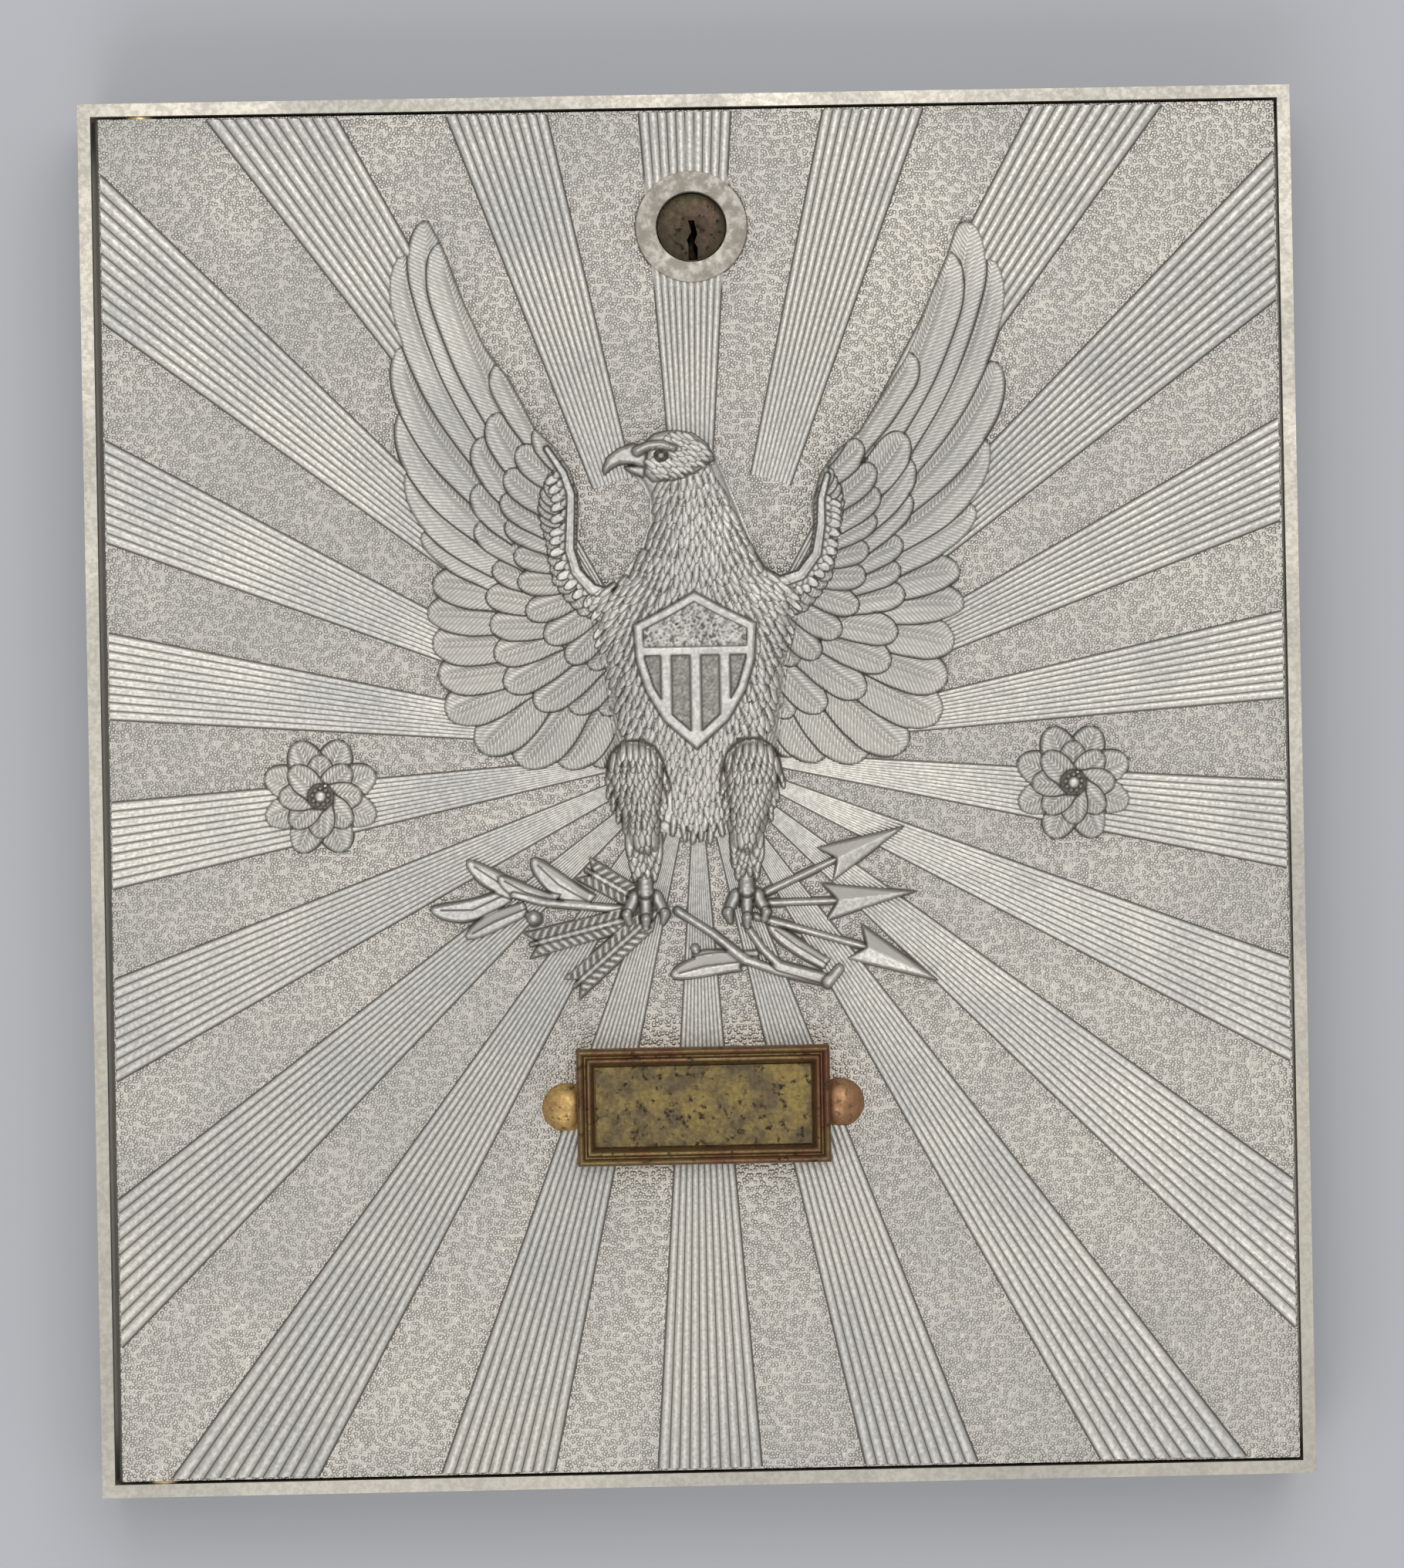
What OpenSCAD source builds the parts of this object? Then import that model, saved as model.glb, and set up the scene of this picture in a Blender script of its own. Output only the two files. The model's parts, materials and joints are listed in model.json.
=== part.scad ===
// Post office box door: a cast leaf with a sunburst and eagle relief, hung in a
// thin-walled cast frame on two pivot pins, with a pin-tumbler cylinder lock at the
// top, its sliding bolt, and a number plate held by two studs.
//
// Every sub-part is drawn in one working frame: x to the right, y up from the middle
// of the door, z out towards the person in front of it. The leaf's ground is z = 0.
// A depth is counted backwards from that ground.

/* [Frame] */
// Outer width of the frame
frame_w = 216; // [190:1:250]
// Outer height of the frame
frame_h = 247.6; // [240:0.2:290]
// Depth of the frame from its front edge to its rear face
frame_depth = 28.6; // [27:0.1:40]
// Thickness of the frame's walls, which shows as the rim round the leaf
frame_wall = 2.3; // [1.8:0.1:4]
// How far the rim stands in front of the leaf's ground
rim_proud = 0.5; // [0.2:0.1:1]
// Width of the inner ledge that the leaf closes against
ledge_w = 5; // [4.5:0.1:7]
// Thickness of the ledge
ledge_t = 2.5; // [2:0.1:3]
// Radius of the ledge's inner corners
ledge_corner_r = 4; // [1:0.5:8]
// Diameter of the side screw holes
side_hole_d = 4.5; // [3:0.1:5]
// Distance between the two screw holes of one side
side_hole_pitch = 160; // [80:5:200]

/* [Leaf] */
// Gap between the leaf and the rim
leaf_gap = 0.5; // [0.4:0.05:0.9]
// Thickness of the leaf's plate
leaf_t = 3.2; // [2.8:0.1:4]
// Depth of the leaf from its ground to the skirt's rear edge
skirt_depth = 16; // [15.5:0.1:17]
// Thickness of the skirt
skirt_t = 2.4; // [1.5:0.1:4]
// How far the skirt stands in from the plate's edge
skirt_inset = 0.5; // [0.3:0.05:1]
// Gap between the closed leaf's skirt and the ledge
stop_gap = 0.3; // [0.2:0.05:0.5]

/* [Hinge] */
// Distance of the hinge axis from the leaf's edge
hinge_in = 8; // [7:0.1:10]
// Radius of the leaf's hinge barrel
barrel_r = 5; // [4.5:0.1:6]
// Depth of the hinge axis behind the ground
pin_setback = 3.5; // [3.3:0.1:4]
// Diameter of the pivot pins
pin_d = 3; // [2:0.1:3.6]
// Length of pin inside the leaf
pin_bite = 9; // [5:0.5:20]
// Outer diameter of the thrust washers
washer_d = 6.4; // [5:0.1:6.6]
// Radial clearance of a pin that turns in its bore
running_fit = 0.06; // [0.03:0.01:0.09]
// Radial clearance of a part that is held in its bore
fixed_fit = 0.02; // [0.01:0.01:0.05]
// End play at each face of a washer
washer_play = 0.05; // [0.03:0.01:0.1]

/* [Sunburst] */
// Number of reeded rays
ray_count = 22; // [12:1:30]
// Number of ribs in one ray
rib_count = 9; // [4:1:12]
// Height of the rays' common centre above the middle of the door
burst_up = 7; // [-10:1:20]
// Radius at which the rays start
burst_r = 14; // [10:1:30]
// Share of the circle that the rays cover
ray_share = 0.5; // [0.3:0.01:0.6]
// Height of the ribs for each millimetre of radius
rib_slope = 0.0062; // [0.003:0.0001:0.007]
// Height of the grooves as a share of the ribs
groove_share = 0.35; // [0.1:0.05:0.8]

/* [Eagle] */
// Height of the eagle from the arrows to the wing tips
eagle_h = 136; // [110:1:140]
// Relief of the shield, the highest part of the eagle
eagle_rise = 4.2; // [3:0.1:4.6]
// Number of flight feathers in one wing
flight_count = 15; // [8:1:18]
// Number of feathers in the row of great coverts
covert_count = 13; // [6:1:16]
// Number of feathers in the row of small coverts
small_count = 10; // [5:1:14]
// Width of a flight feather
flight_w = 5.4; // [4:0.2:6.4]
// Width of the groove between two feathers
feather_gap = 0.4; // [0.2:0.05:0.6]

/* [Rosettes] */
// Distance of each rosette from the middle of the door
rosette_x = 67; // [60:1:75]
// Radius of a rosette
rosette_r = 11; // [7:0.5:12]
// Number of petals
petal_count = 8; // [5:1:12]
// Relief of a rosette
rosette_rise = 1.6; // [0.8:0.1:2.5]

/* [Number plate] */
// Width of the holder
plate_w = 45; // [36:1:60]
// Height of the holder
plate_h = 20.8; // [16:0.2:26]
// Height of the holder's middle above the leaf's lower edge
plate_up = 64.9; // [50:0.1:70]
// How far the holder stands in front of the ground
plate_proud = 5; // [4.7:0.1:6]
// Thickness of the back plate
plate_back_t = 1.2; // [0.8:0.1:1.6]
// Width of the holder's moulding
moulding_w = 3.1; // [2.5:0.1:4.5]
// Thickness of the number panel
panel_t = 1; // [0.6:0.1:1.4]
// Clearance round the number panel
panel_gap = 0.15; // [0.05:0.05:0.4]
// Radius of the round ears
ear_r = 4.4; // [3.5:0.1:6]
// Height of the domed ears
ear_rise = 2.4; // [1.6:0.1:3]
// How far an ear reaches past the holder
ear_reach = 6.2; // [5:0.1:7]
// Diameter of the studs behind the ears
stud_d = 2.4; // [2:0.1:3]
// Thickness of the stud nuts
stud_nut_t = 2; // [1.5:0.1:3]
// Size of the stud nuts across their flats
stud_nut_af = 5; // [4.5:0.1:6]

/* [Lock face] */
// Distance of the lock's axis below the leaf's upper edge
lock_drop = 20.8; // [20.2:0.1:21.8]
// Distance of the lock's axis to the right of the middle
lock_x = 0.8; // [-2:0.1:2]
// Diameter of the hole in the leaf
lock_hole_d = 12.6; // [12.4:0.1:13.4]
// Diameter of the raised ring round the hole
ring_d = 19.8; // [16:0.1:23]
// Relief of the ring
ring_rise = 0.7; // [0.3:0.1:1.2]

/* [Cylinder] */
// Depth of the plug's face behind the ground
plug_recess = 1.2; // [0.6:0.1:2]
// Diameter of the plug's head
plug_head_d = 12; // [11.9:0.1:12.1]
// Diameter of the plug's body
plug_d = 11.2; // [10.4:0.1:11.4]
// Length of the cylinder shell
shell_len = 13; // [12.9:0.1:13.1]
// Outer diameter of the shell's round part
shell_d = 17; // [15:0.1:18]
// Width of the shell's pin tower
tower_w = 6.5; // [4:0.1:8]
// Height of the pin tower's top above the lock's axis
tower_up = 13.2; // [12.6:0.1:13.6]
// Number of pin chambers
pin_count = 5; // [3:1:5]
// Distance between pin chambers
pin_pitch = 2.3; // [2.2:0.05:2.4]
// Depth of the first chamber behind the leaf's plate
pin_first = 2; // [1.5:0.1:2.3]
// Diameter of the tumbler pins
tumbler_d = 1.8; // [1.2:0.1:2]
// Clearance round a tumbler pin
tumbler_fit = 0.05; // [0.03:0.01:0.1]
// Length of the driver pins
driver_len = 3.2; // [2.5:0.1:4]
// Wire diameter of the driver springs
wire_d = 0.3; // [0.2:0.05:0.4]
// Turns of a driver spring
spring_turns = 4; // [3:1:7]
// Thickness of the strip that closes the chambers
strip_t = 0.5; // [0.3:0.1:0.8]
// Height of the keyway's top above the lock's axis
keyway_up = 1.3; // [0.8:0.1:1.8]
// Width of the keyway
keyway_w = 1.1; // [0.8:0.1:1.5]
// Sideways step of the keyway's wards
ward_step = 0.55; // [0.2:0.05:0.7]

/* [Bolt work] */
// Thickness of the cam disc
cam_t = 2; // [1.6:0.1:2]
// Diameter of the cam disc
cam_d = 14.4; // [12:0.1:15]
// Diameter of the crank pin
crank_d = 2.4; // [1.8:0.1:2.6]
// Travel of the bolt
bolt_throw = 4.6; // [4:0.1:5.2]
// Thickness of the bolt
bolt_t = 3; // [2:0.1:3.4]
// Width of the bolt
bolt_w = 18; // [16:0.5:24]
// Length of the bolt
bolt_len = 26; // [24.5:0.5:27]
// Clearance between the bolt and the back of the ledge
bolt_gap = 0.3; // [0.2:0.05:0.5]
// Clearance of the bolt in its channel
bolt_play = 0.2; // [0.15:0.05:0.3]
// Clearance of the crank pin in the bolt's slot
slot_play = 0.25; // [0.2:0.05:0.4]
// How far the drawn-back bolt stands above the case
bolt_show = 0.3; // [0:0.1:0.5]

/* [Lock case] */
// Width of the case
case_w = 34; // [30:0.5:44]
// Height of the case below the lock's axis
case_down = 15; // [14.5:0.5:20]
// Gap between the top of the case and the ledge
case_gap = 1; // [0.6:0.1:1.4]
// Thickness of the cover
cover_t = 1.6; // [1:0.1:2.5]
// Distance of the cover screws from the case's edges
cover_screw_in = 3.2; // [3:0.1:3.6]
// Diameter of the cover screws
cover_screw_d = 2.2; // [1.8:0.1:2.4]
// Height of the posts that carry the case's ears
post_h = 5; // [3.5:0.1:8]
// Diameter of the posts
post_d = 6.4; // [5.5:0.1:8]
// Distance of the posts' middles from the case's sides
post_out = 4; // [3.5:0.1:7]
// Distance of the posts from the lock's axis, up and down
post_y = 9; // [4:0.5:10]
// Thickness of the case's ears
lug_t = 2.4; // [1.6:0.1:3]
// Diameter of the lock screws
lock_screw_d = 3; // [2.5:0.1:3.4]

/* [Hidden] */

// Facets of round parts and bores
fine = 64;

// Frame and leaf
leaf_w = frame_w - 2 * (frame_wall + leaf_gap);
leaf_h = frame_h - 2 * (frame_wall + leaf_gap);
frame_rear = frame_depth - rim_proud;
ledge_front = skirt_depth + stop_gap;
ledge_rear = ledge_front + ledge_t;
axis_x = -leaf_w / 2 + hinge_in;
side_hole_depth = (ledge_rear + frame_rear) / 2;
countersink = 1;
depth_shift = -(frame_rear - plate_proud) / 2;
bore_end = 1;
overcut = 1;
driver_slot = 0.8;

// Lock
lock_up = leaf_h / 2 - lock_drop;
shell_rear = leaf_t + shell_len;
post_x = case_w / 2 + post_out;
cam_gap = 0.2;
cam_front = shell_rear + cam_gap;
bolt_front = ledge_rear + bolt_gap;
bolt_rear = bolt_front + bolt_t;
channel_front = bolt_front - bolt_play;
case_rear = bolt_rear + bolt_play;
case_top = frame_h / 2 - frame_wall - ledge_w - case_gap - lock_up;
bolt_top = case_top + bolt_show;
crank_r = bolt_throw / sqrt(2);
crank_at = bolt_throw / 2;
shear_up = plug_d / 2;
shear_gap = 0.12;
driver_foot = shear_up + shear_gap + running_fit;
head_gap = 0.1;
lug_front = leaf_t + post_h;
lug_rear = lug_front + lug_t;
screw_head_t = 1.2;
lock_screw_bite = post_h - 0.6;

// Number plate
plate_y = plate_up - leaf_h / 2;
ear_x = plate_w / 2 + ear_reach - ear_r;
stud_len = leaf_t + stud_nut_t + 0.4;

// ---------- working frame ----------

// Puts a sub-part, drawn in the working frame, where it belongs in the model
module in_place() {
    translate([0, depth_shift, frame_h / 2]) rotate([90, 0, 0]) children();
}

// An outline seen from the front, between two depths
module slab(from, to) {
    translate([0, 0, -to]) linear_extrude(to - from) children();
}

// A section seen from above, with y as depth, between two heights
module upright(from, to) {
    translate([0, from, 0]) rotate([-90, 0, 0]) linear_extrude(to - from) children();
}

module at_lock() {
    translate([lock_x, lock_up]) children();
}

module both_ends() {
    for (side = [-1, 1]) scale([1, side, 1]) children();
}

// A rectangle with true round corners
module rounded_rect(w, h, r) {
    difference() {
        square([w, h], center = true);
        for (sx = [-1, 1], sy = [-1, 1]) {
            translate([sx * w / 2, sy * h / 2]) rotate(sx * sy > 0 ? (sx > 0 ? 180 : 0) : (sx > 0 ? 90 : 270))
                corner_waste(r);
        }
    }
}

// What a round corner leaves of its square
module corner_waste(r) {
    difference() {
        translate([-overcut, -overcut]) square(r + overcut);
        translate([r, r]) circle(r, $fn = fine);
    }
}

// ---------- frame ----------

module side_holes() {
    hole_x = frame_w / 2 - frame_wall;
    for (side = [-1, 1], up = [-1, 1]) {
        translate([side * hole_x, up * side_hole_pitch / 2, -side_hole_depth])
            rotate([0, side * 90, 0]) {
                translate([0, 0, -overcut])
                    cylinder(d = side_hole_d, h = frame_wall + 2 * overcut, $fn = fine);
                cylinder(d1 = side_hole_d + 2 * countersink, d2 = side_hole_d, h = countersink, $fn = fine);
            }
    }
}

module frame() {
    color("#b9b2a4") in_place() difference() {
        union() {
            slab(-rim_proud, frame_rear) difference() {
                square([frame_w, frame_h], center = true);
                square([frame_w - 2 * frame_wall, frame_h - 2 * frame_wall], center = true);
            }
            slab(ledge_front, ledge_rear) difference() {
                square([frame_w - frame_wall, frame_h - frame_wall], center = true);
                rounded_rect(frame_w - 2 * (frame_wall + ledge_w),
                             frame_h - 2 * (frame_wall + ledge_w), ledge_corner_r);
            }
        }
        side_holes();
        upright(-frame_h / 2 - overcut, frame_h / 2 + overcut)
            translate([axis_x, pin_setback]) circle(d = pin_d + 2 * fixed_fit, $fn = fine);
    }
}

// One pivot pin: pressed into the rail, slotted outside, rounded off inside
module hinge_pin() {
    tip = leaf_h / 2 - pin_bite;
    difference() {
        union() {
            upright(tip + pin_d / 4, frame_h / 2) translate([axis_x, pin_setback])
                circle(d = pin_d, $fn = fine);
            translate([axis_x, tip, -pin_setback]) rotate([-90, 0, 0])
                cylinder(d1 = pin_d / 2, d2 = pin_d, h = pin_d / 4, $fn = fine);
        }
        translate([axis_x, frame_h / 2, -pin_setback])
            cube([2 * pin_d, 2 * driver_slot, driver_slot], center = true);
    }
}

module hinge_pin_upper() {
    color("#9d9484") in_place() hinge_pin();
}

module hinge_pin_lower() {
    color("#9d9484") in_place() mirror([0, 1, 0]) hinge_pin();
}

module hinge_washers() {
    color("#b08d4a") in_place() both_ends()
        upright(leaf_h / 2 + washer_play, leaf_h / 2 + leaf_gap - washer_play)
            translate([axis_x, pin_setback]) difference() {
                circle(d = washer_d, $fn = fine);
                circle(d = pin_d + 2 * running_fit, $fn = fine);
            }
}

// ---------- leaf ----------

// Section of the leaf seen from above: the plate, whose hinged edge is rounded about
// the hinge axis so that it swings clear of the frame, and the barrel behind it
module leaf_section() {
    translate([axis_x, 0]) square([leaf_w - hinge_in, leaf_t]);
    intersection() {
        translate([axis_x, pin_setback]) circle(hinge_in, $fn = fine);
        translate([axis_x - hinge_in, 0]) square([hinge_in + overcut, leaf_t]);
    }
    intersection() {
        translate([axis_x, pin_setback]) circle(barrel_r, $fn = fine);
        translate([axis_x - barrel_r, 0]) square(4 * barrel_r);
    }
}

// The skirt stands on three sides: the hinge barrel takes its place on the fourth
module skirt_outline() {
    right = leaf_w / 2 - skirt_inset;
    top = leaf_h / 2 - skirt_inset;
    difference() {
        translate([axis_x, -top]) square([right - axis_x, 2 * top]);
        translate([right - skirt_t - leaf_w / 2, 0])
            rounded_rect(leaf_w + 2 * barrel_r, 2 * (top - skirt_t), ledge_corner_r);
    }
}

module at_posts() {
    for (sx = [-1, 1], sy = [-1, 1]) translate([sx * post_x, sy * post_y]) let($side = sx) children();
}

module at_studs() {
    for (side = [-1, 1]) translate([side * ear_x, plate_y]) children();
}

module door_leaf() {
    color("#c6bfb0") in_place() difference() {
        union() {
            upright(-leaf_h / 2, leaf_h / 2) leaf_section();
            slab(leaf_t - fixed_fit, skirt_depth) skirt_outline();
            slab(-ring_rise, leaf_t) at_lock() circle(d = ring_d, $fn = fine);
            slab(leaf_t - fixed_fit, lug_front) at_lock() at_posts() circle(d = post_d, $fn = fine);
        }
        slab(-overcut - ring_rise, leaf_t + overcut) at_lock() circle(d = lock_hole_d, $fn = fine);
        slab(-overcut, leaf_t + overcut) at_studs() circle(d = stud_d + 2 * fixed_fit, $fn = fine);
        slab(lug_front - lock_screw_bite - 0.3, lug_front + overcut) at_lock() at_posts()
            circle(d = lock_screw_d + 2 * fixed_fit, $fn = fine);
        both_ends() upright(leaf_h / 2 - pin_bite - bore_end, leaf_h / 2 + overcut)
            translate([axis_x, pin_setback]) circle(d = pin_d + 2 * running_fit, $fn = fine);
    }
}

// ---------- sunburst ----------

ray_margin = 0.4;

// On the hinged side the highest rib must swing past the frame's wall too
rib_top = rib_slope * norm([leaf_w / 2, leaf_h / 2 + abs(burst_up)]);
flat_left = leaf_w / 2 - hinge_in
    + sqrt(pow(hinge_in + leaf_gap / 2, 2) - pow(pin_setback + rib_top, 2));
flat_right = leaf_w / 2 - ray_margin;
flat_top = leaf_h / 2 - ray_margin;

// Distance from the rays' centre to the edge of the leaf; the angle runs clockwise from straight up
function to_side(a) = abs(sin(a)) < 0.01 ? 1e6 : (sin(a) > 0 ? flat_right : flat_left) / abs(sin(a));
function to_end(a) = abs(cos(a)) < 0.01 ? 1e6 : (flat_top - sign(cos(a)) * burst_up) / abs(cos(a));

// The side of the leaf that a direction runs out to: 0 for left or right, 1 for top or bottom
function runs_to_end(a) = to_end(a) < to_side(a);

function burst_point(a, r, h) = [r * sin(a), burst_up + r * cos(a), h];

// One ray with its ribs. Ribs and grooves are straight lines from the common centre,
// so each face between them is flat. The whole ray ends on the side that its middle meets.
module ray(mid) {
    half = 180 * ray_share / ray_count;
    last = 2 * rib_count;
    angles = [for (i = [0 : last]) mid + half * (2 * i / last - 1)];
    reach = [for (a = angles) runs_to_end(mid) ? to_end(a) : to_side(a)];
    slope = [for (i = [0 : last]) rib_slope * (i % 2 == 1 ? 1 : groove_share)];
    inner = [for (a = angles) burst_r / cos(a - mid)];
    top_in = [for (i = [0 : last]) burst_point(angles[i], inner[i], inner[i] * slope[i])];
    top_out = [for (i = [0 : last]) burst_point(angles[i], reach[i], reach[i] * slope[i])];
    foot = [
        burst_point(angles[0], inner[0], 0), burst_point(angles[last], inner[last], 0),
        burst_point(angles[last], reach[last], 0), burst_point(angles[0], reach[0], 0)
    ];
    n = last + 1;
    tops = [for (i = [0 : last - 1]) [i, n + i, n + i + 1, i + 1]];
    polyhedron(
        points = concat(top_in, top_out, foot),
        faces = concat(
            tops,
            [
                [2 * n, 2 * n + 1, 2 * n + 2, 2 * n + 3],
                [0, 2 * n, 2 * n + 3, n],
                [last, n + last, 2 * n + 2, 2 * n + 1],
                concat([for (i = [0 : last]) i], [2 * n + 1, 2 * n]),
                concat([for (i = [last : -1 : 0]) n + i], [2 * n + 3, 2 * n + 2])
            ]
        )
    );
}

// The rays stop where the ring, the number plate, the rosettes and the eagle stand on the ground
module sunburst_rays() {
    color("#d2cbbd") in_place() difference() {
        for (i = [0 : ray_count - 1]) ray(i * 360 / ray_count);
        slab(-2 * eagle_rise, overcut) at_lock() circle(d = ring_d, $fn = fine);
        slab(-2 * eagle_rise, overcut) translate([0, plate_y]) plate_outline();
        slab(-2 * eagle_rise, overcut) at_rosettes() circle(rosette_r, $fn = fine);
        slab(-2 * eagle_rise, overcut) eagle_size() eagle_outline();
    }
}

// ---------- eagle ----------

// The relief is drawn at its own size and scaled to the height and the relief asked for
eagle_design_h = 136;
eagle_design_rise = 4.2;

// Tips of the flight feathers from the raised wing tip round to the lowest one
wing_tips = [
    [-46, 101], [-52, 95], [-54, 80], [-53, 67], [-50.5, 57], [-49, 48], [-48.5, 40], [-47.5, 32],
    [-46.5, 24], [-44, 16], [-40, 9], [-33, 5.5], [-26, 5], [-19, 6]
];
// Leading edge of the wing from the breast round the hollow beside the neck to the tip
wing_edge = [
    [-6, 35], [-14, 34.5], [-20.5, 37.5], [-23.2, 44], [-22.8, 52], [-26, 60], [-32, 70], [-37, 79],
    [-41.5, 89], [-44.5, 98]
];
wing_edge_r = [4.2, 3.2, 2.6, 2.3, 2.2, 2.1, 1.9, 1.7, 1.4, 0.9];

// Lines on which the feathers of a row end and start, from the raised wing tip to the body
flight_roots = [[-34, 68], [-35, 54], [-34, 40], [-32, 29], [-29, 21], [-20, 18], [-12, 16]];
covert_tips = [[-36.5, 76], [-39.5, 62], [-39, 48], [-37.5, 36], [-36, 25], [-29, 15.5], [-17, 13.5]];
covert_roots = [[-30, 61], [-30, 51], [-29, 42], [-27, 34], [-24, 28], [-18, 24], [-11, 21]];
small_tips = [[-31, 66], [-34, 55], [-33, 46], [-31, 36], [-27, 27], [-17, 21.5]];
small_roots = [[-25, 56], [-25, 50], [-24, 43], [-22, 37], [-18, 32], [-12, 28]];
// How far the tips of the feathers stand inside those lines
tip_inset = 1.1;
// Tops of the rows, one step up from the flight feathers to the arm
feather_floor = 0.7;
flight_top = 1.3;
covert_top = 1.8;
small_top = 2.3;
arm_top = 2.5;

function mix(a, b, t) = a + (b - a) * t;
function curve(a, b, c, t) = mix(mix(a, b, t), mix(b, c, t), t);

// A point part of the way along a list, counted from 0 to 1
function along(list, t) =
    let(s = t * (len(list) - 1), i = min(floor(s), len(list) - 2)) mix(list[i], list[i + 1], s - i);

function unit(v) = v / norm(v);
function across(v) = [-v[1], v[0]];

// Stations of a feather: how far along, and the share of its full width there
short_feather = [[0, 0.7], [0.78, 1], [1, 0.4]];

// One feather on its own flat back: a low far side, a ridge and a step at the near edge
module feather(root, tip, width, rise, bow = 0, stations = short_feather) {
    dir = unit(tip - root);
    side = across(dir);
    mid = mix(root, tip, 0.5) + side * bow;
    loft([for (s = stations)
        let(c = curve(root, mid, tip, s[0]), w = s[1] * width / 2, h = rise * (1 - 0.3 * s[0]))
        [
            [c[0] + side[0] * w, c[1] + side[1] * w, 0],
            [c[0] + side[0] * w * 0.1, c[1] + side[1] * w * 0.1, h],
            [c[0] - side[0] * w, c[1] - side[1] * w, h * 0.75],
            [c[0] - side[0] * w, c[1] - side[1] * w, 0]
        ]]);
}

// A closed solid through sections that have the same number of points
module loft(sections) {
    k = len(sections[0]);
    last = len(sections) - 1;
    points = [for (s = sections, p = s) p];
    walls = [for (i = [0 : last - 1], j = [0 : k - 1], half = [0, 1])
        let(a = i * k + j, b = i * k + (j + 1) % k) half == 0 ? [a, a + k, b + k] : [a, b + k, b]];
    polyhedron(points, concat(
        walls,
        [[for (j = [0 : k - 1]) j], [for (j = [k - 1 : -1 : 0]) last * k + j]]
    ));
}

// Half-round section of a cord or roll: share of its radius, share of its rise
half_round = [[1, 0], [0.6, 0.8], [-0.6, 0.8], [-1, 0]];
limb_round = [for (a = [0 : 30 : 180]) [cos(a), sin(a)]];

// A half-round roll along a path; each stop is a place, a radius and a rise
module roll(stops, section = half_round) {
    last = len(stops) - 1;
    loft([for (i = [0 : last])
        let(c = stops[i][0], dir = unit(stops[min(i + 1, last)][0] - stops[max(i - 1, 0)][0]),
            side = across(dir) * stops[i][1])
        [for (u = section) [c[0] + side[0] * u[0], c[1] + side[1] * u[0], stops[i][2] * u[1]]]]);
}

// A low dome on the ground: half a squashed ball, from its foot ring up to a small flat top
module dome(at, rx, ry, rise, sides = 10) {
    loft([for (up = [0, 40, 72])
        [for (j = [0 : sides - 1])
            let(a = j * 360 / sides, r = cos(up))
            [at[0] + rx * r * cos(a), at[1] + ry * r * sin(a), rise * sin(up) / sin(72)]]]);
}

// A rounded limb between two places, flat at its back
module limb(a, b, ra, rb, rise_a, rise_b) {
    dir = unit(b - a);
    roll([
        [a - 0.8 * ra * dir, 0.55 * ra, 0.6 * rise_a], [a, ra, rise_a],
        [b, rb, rise_b], [b + 0.8 * rb * dir, 0.5 * rb, 0.6 * rise_b]
    ], limb_round);
}

// Outline of a wing with its leading edge
module wing_outline() {
    last = len(wing_edge) - 1;
    polygon(concat(
        [for (i = [0 : last])
            wing_edge[i] - wing_edge_r[i]
                * across(unit(wing_edge[min(i + 1, last)] - wing_edge[max(i - 1, 0)]))],
        wing_tips,
        [[0, 6], [0, 35]]
    ));
}

// Outline of a feather: how far along, and the share of its full width there
blade_stations = [[0, 0.7], [0.4, 1], [0.82, 0.96], [0.94, 0.7], [1, 0.28]];

module blade(root, tip, width, bow) {
    dir = unit(tip - root);
    side = across(dir);
    mid = mix(root, tip, 0.5) + bow * side;
    edge = [for (s = blade_stations) [curve(root, mid, tip, s[0]), side * width / 2 * s[1]]];
    last = len(edge) - 1;
    polygon(concat([for (e = edge) e[0] + e[1]], [for (i = [last : -1 : 0]) edge[i][0] - edge[i][1]]));
}

// One feather of a row, counted from the raised wing tip
module row_blade(row, i) {
    t = i / (row[2] - 1);
    root = along(row[1], t);
    tip = along(row[0], t);
    run = tip - root;
    blade(root, tip - tip_inset * unit(run), row[3] * mix(row[4], 1, t), row[5] * norm(run) * pow(1 - t, 2));
}

// A row of feathers, each with its lower neighbour over its edge and a groove between the two
module feather_row(row) {
    linear_extrude(row[6]) for (i = [0 : row[2] - 1]) offset(delta = -feather_gap / 2) difference() {
        row_blade(row, i);
        if (i < row[2] - 1) row_blade(row, i + 1);
    }
}

// Each row: tips, roots, number, width, share of that width at the wing tip, bow, top
wing_rows = [
    [wing_tips, flight_roots, flight_count, flight_w, 0.7, 0.16, flight_top],
    [covert_tips, covert_roots, covert_count, flight_w * 0.85, 0.9, 0.06, covert_top],
    [small_tips, small_roots, small_count, flight_w * 0.8, 0.9, 0.05, small_top]
];

module wing() {
    linear_extrude(feather_floor) offset(delta = -feather_gap)
        for (row = wing_rows, i = [0 : row[2] - 1]) row_blade(row, i);
    for (row = wing_rows) feather_row(row);
    linear_extrude(arm_top) polygon(concat(
        [for (i = [0 : 6]) wing_edge[i]], [for (i = [0 : len(small_roots) - 1]) small_roots[i]], [[-6, 20]]));
    roll([for (i = [0 : len(wing_edge) - 1])
        [wing_edge[i], wing_edge_r[i], 1.2 + wing_edge_r[i] * 0.7]]);
}

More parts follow.
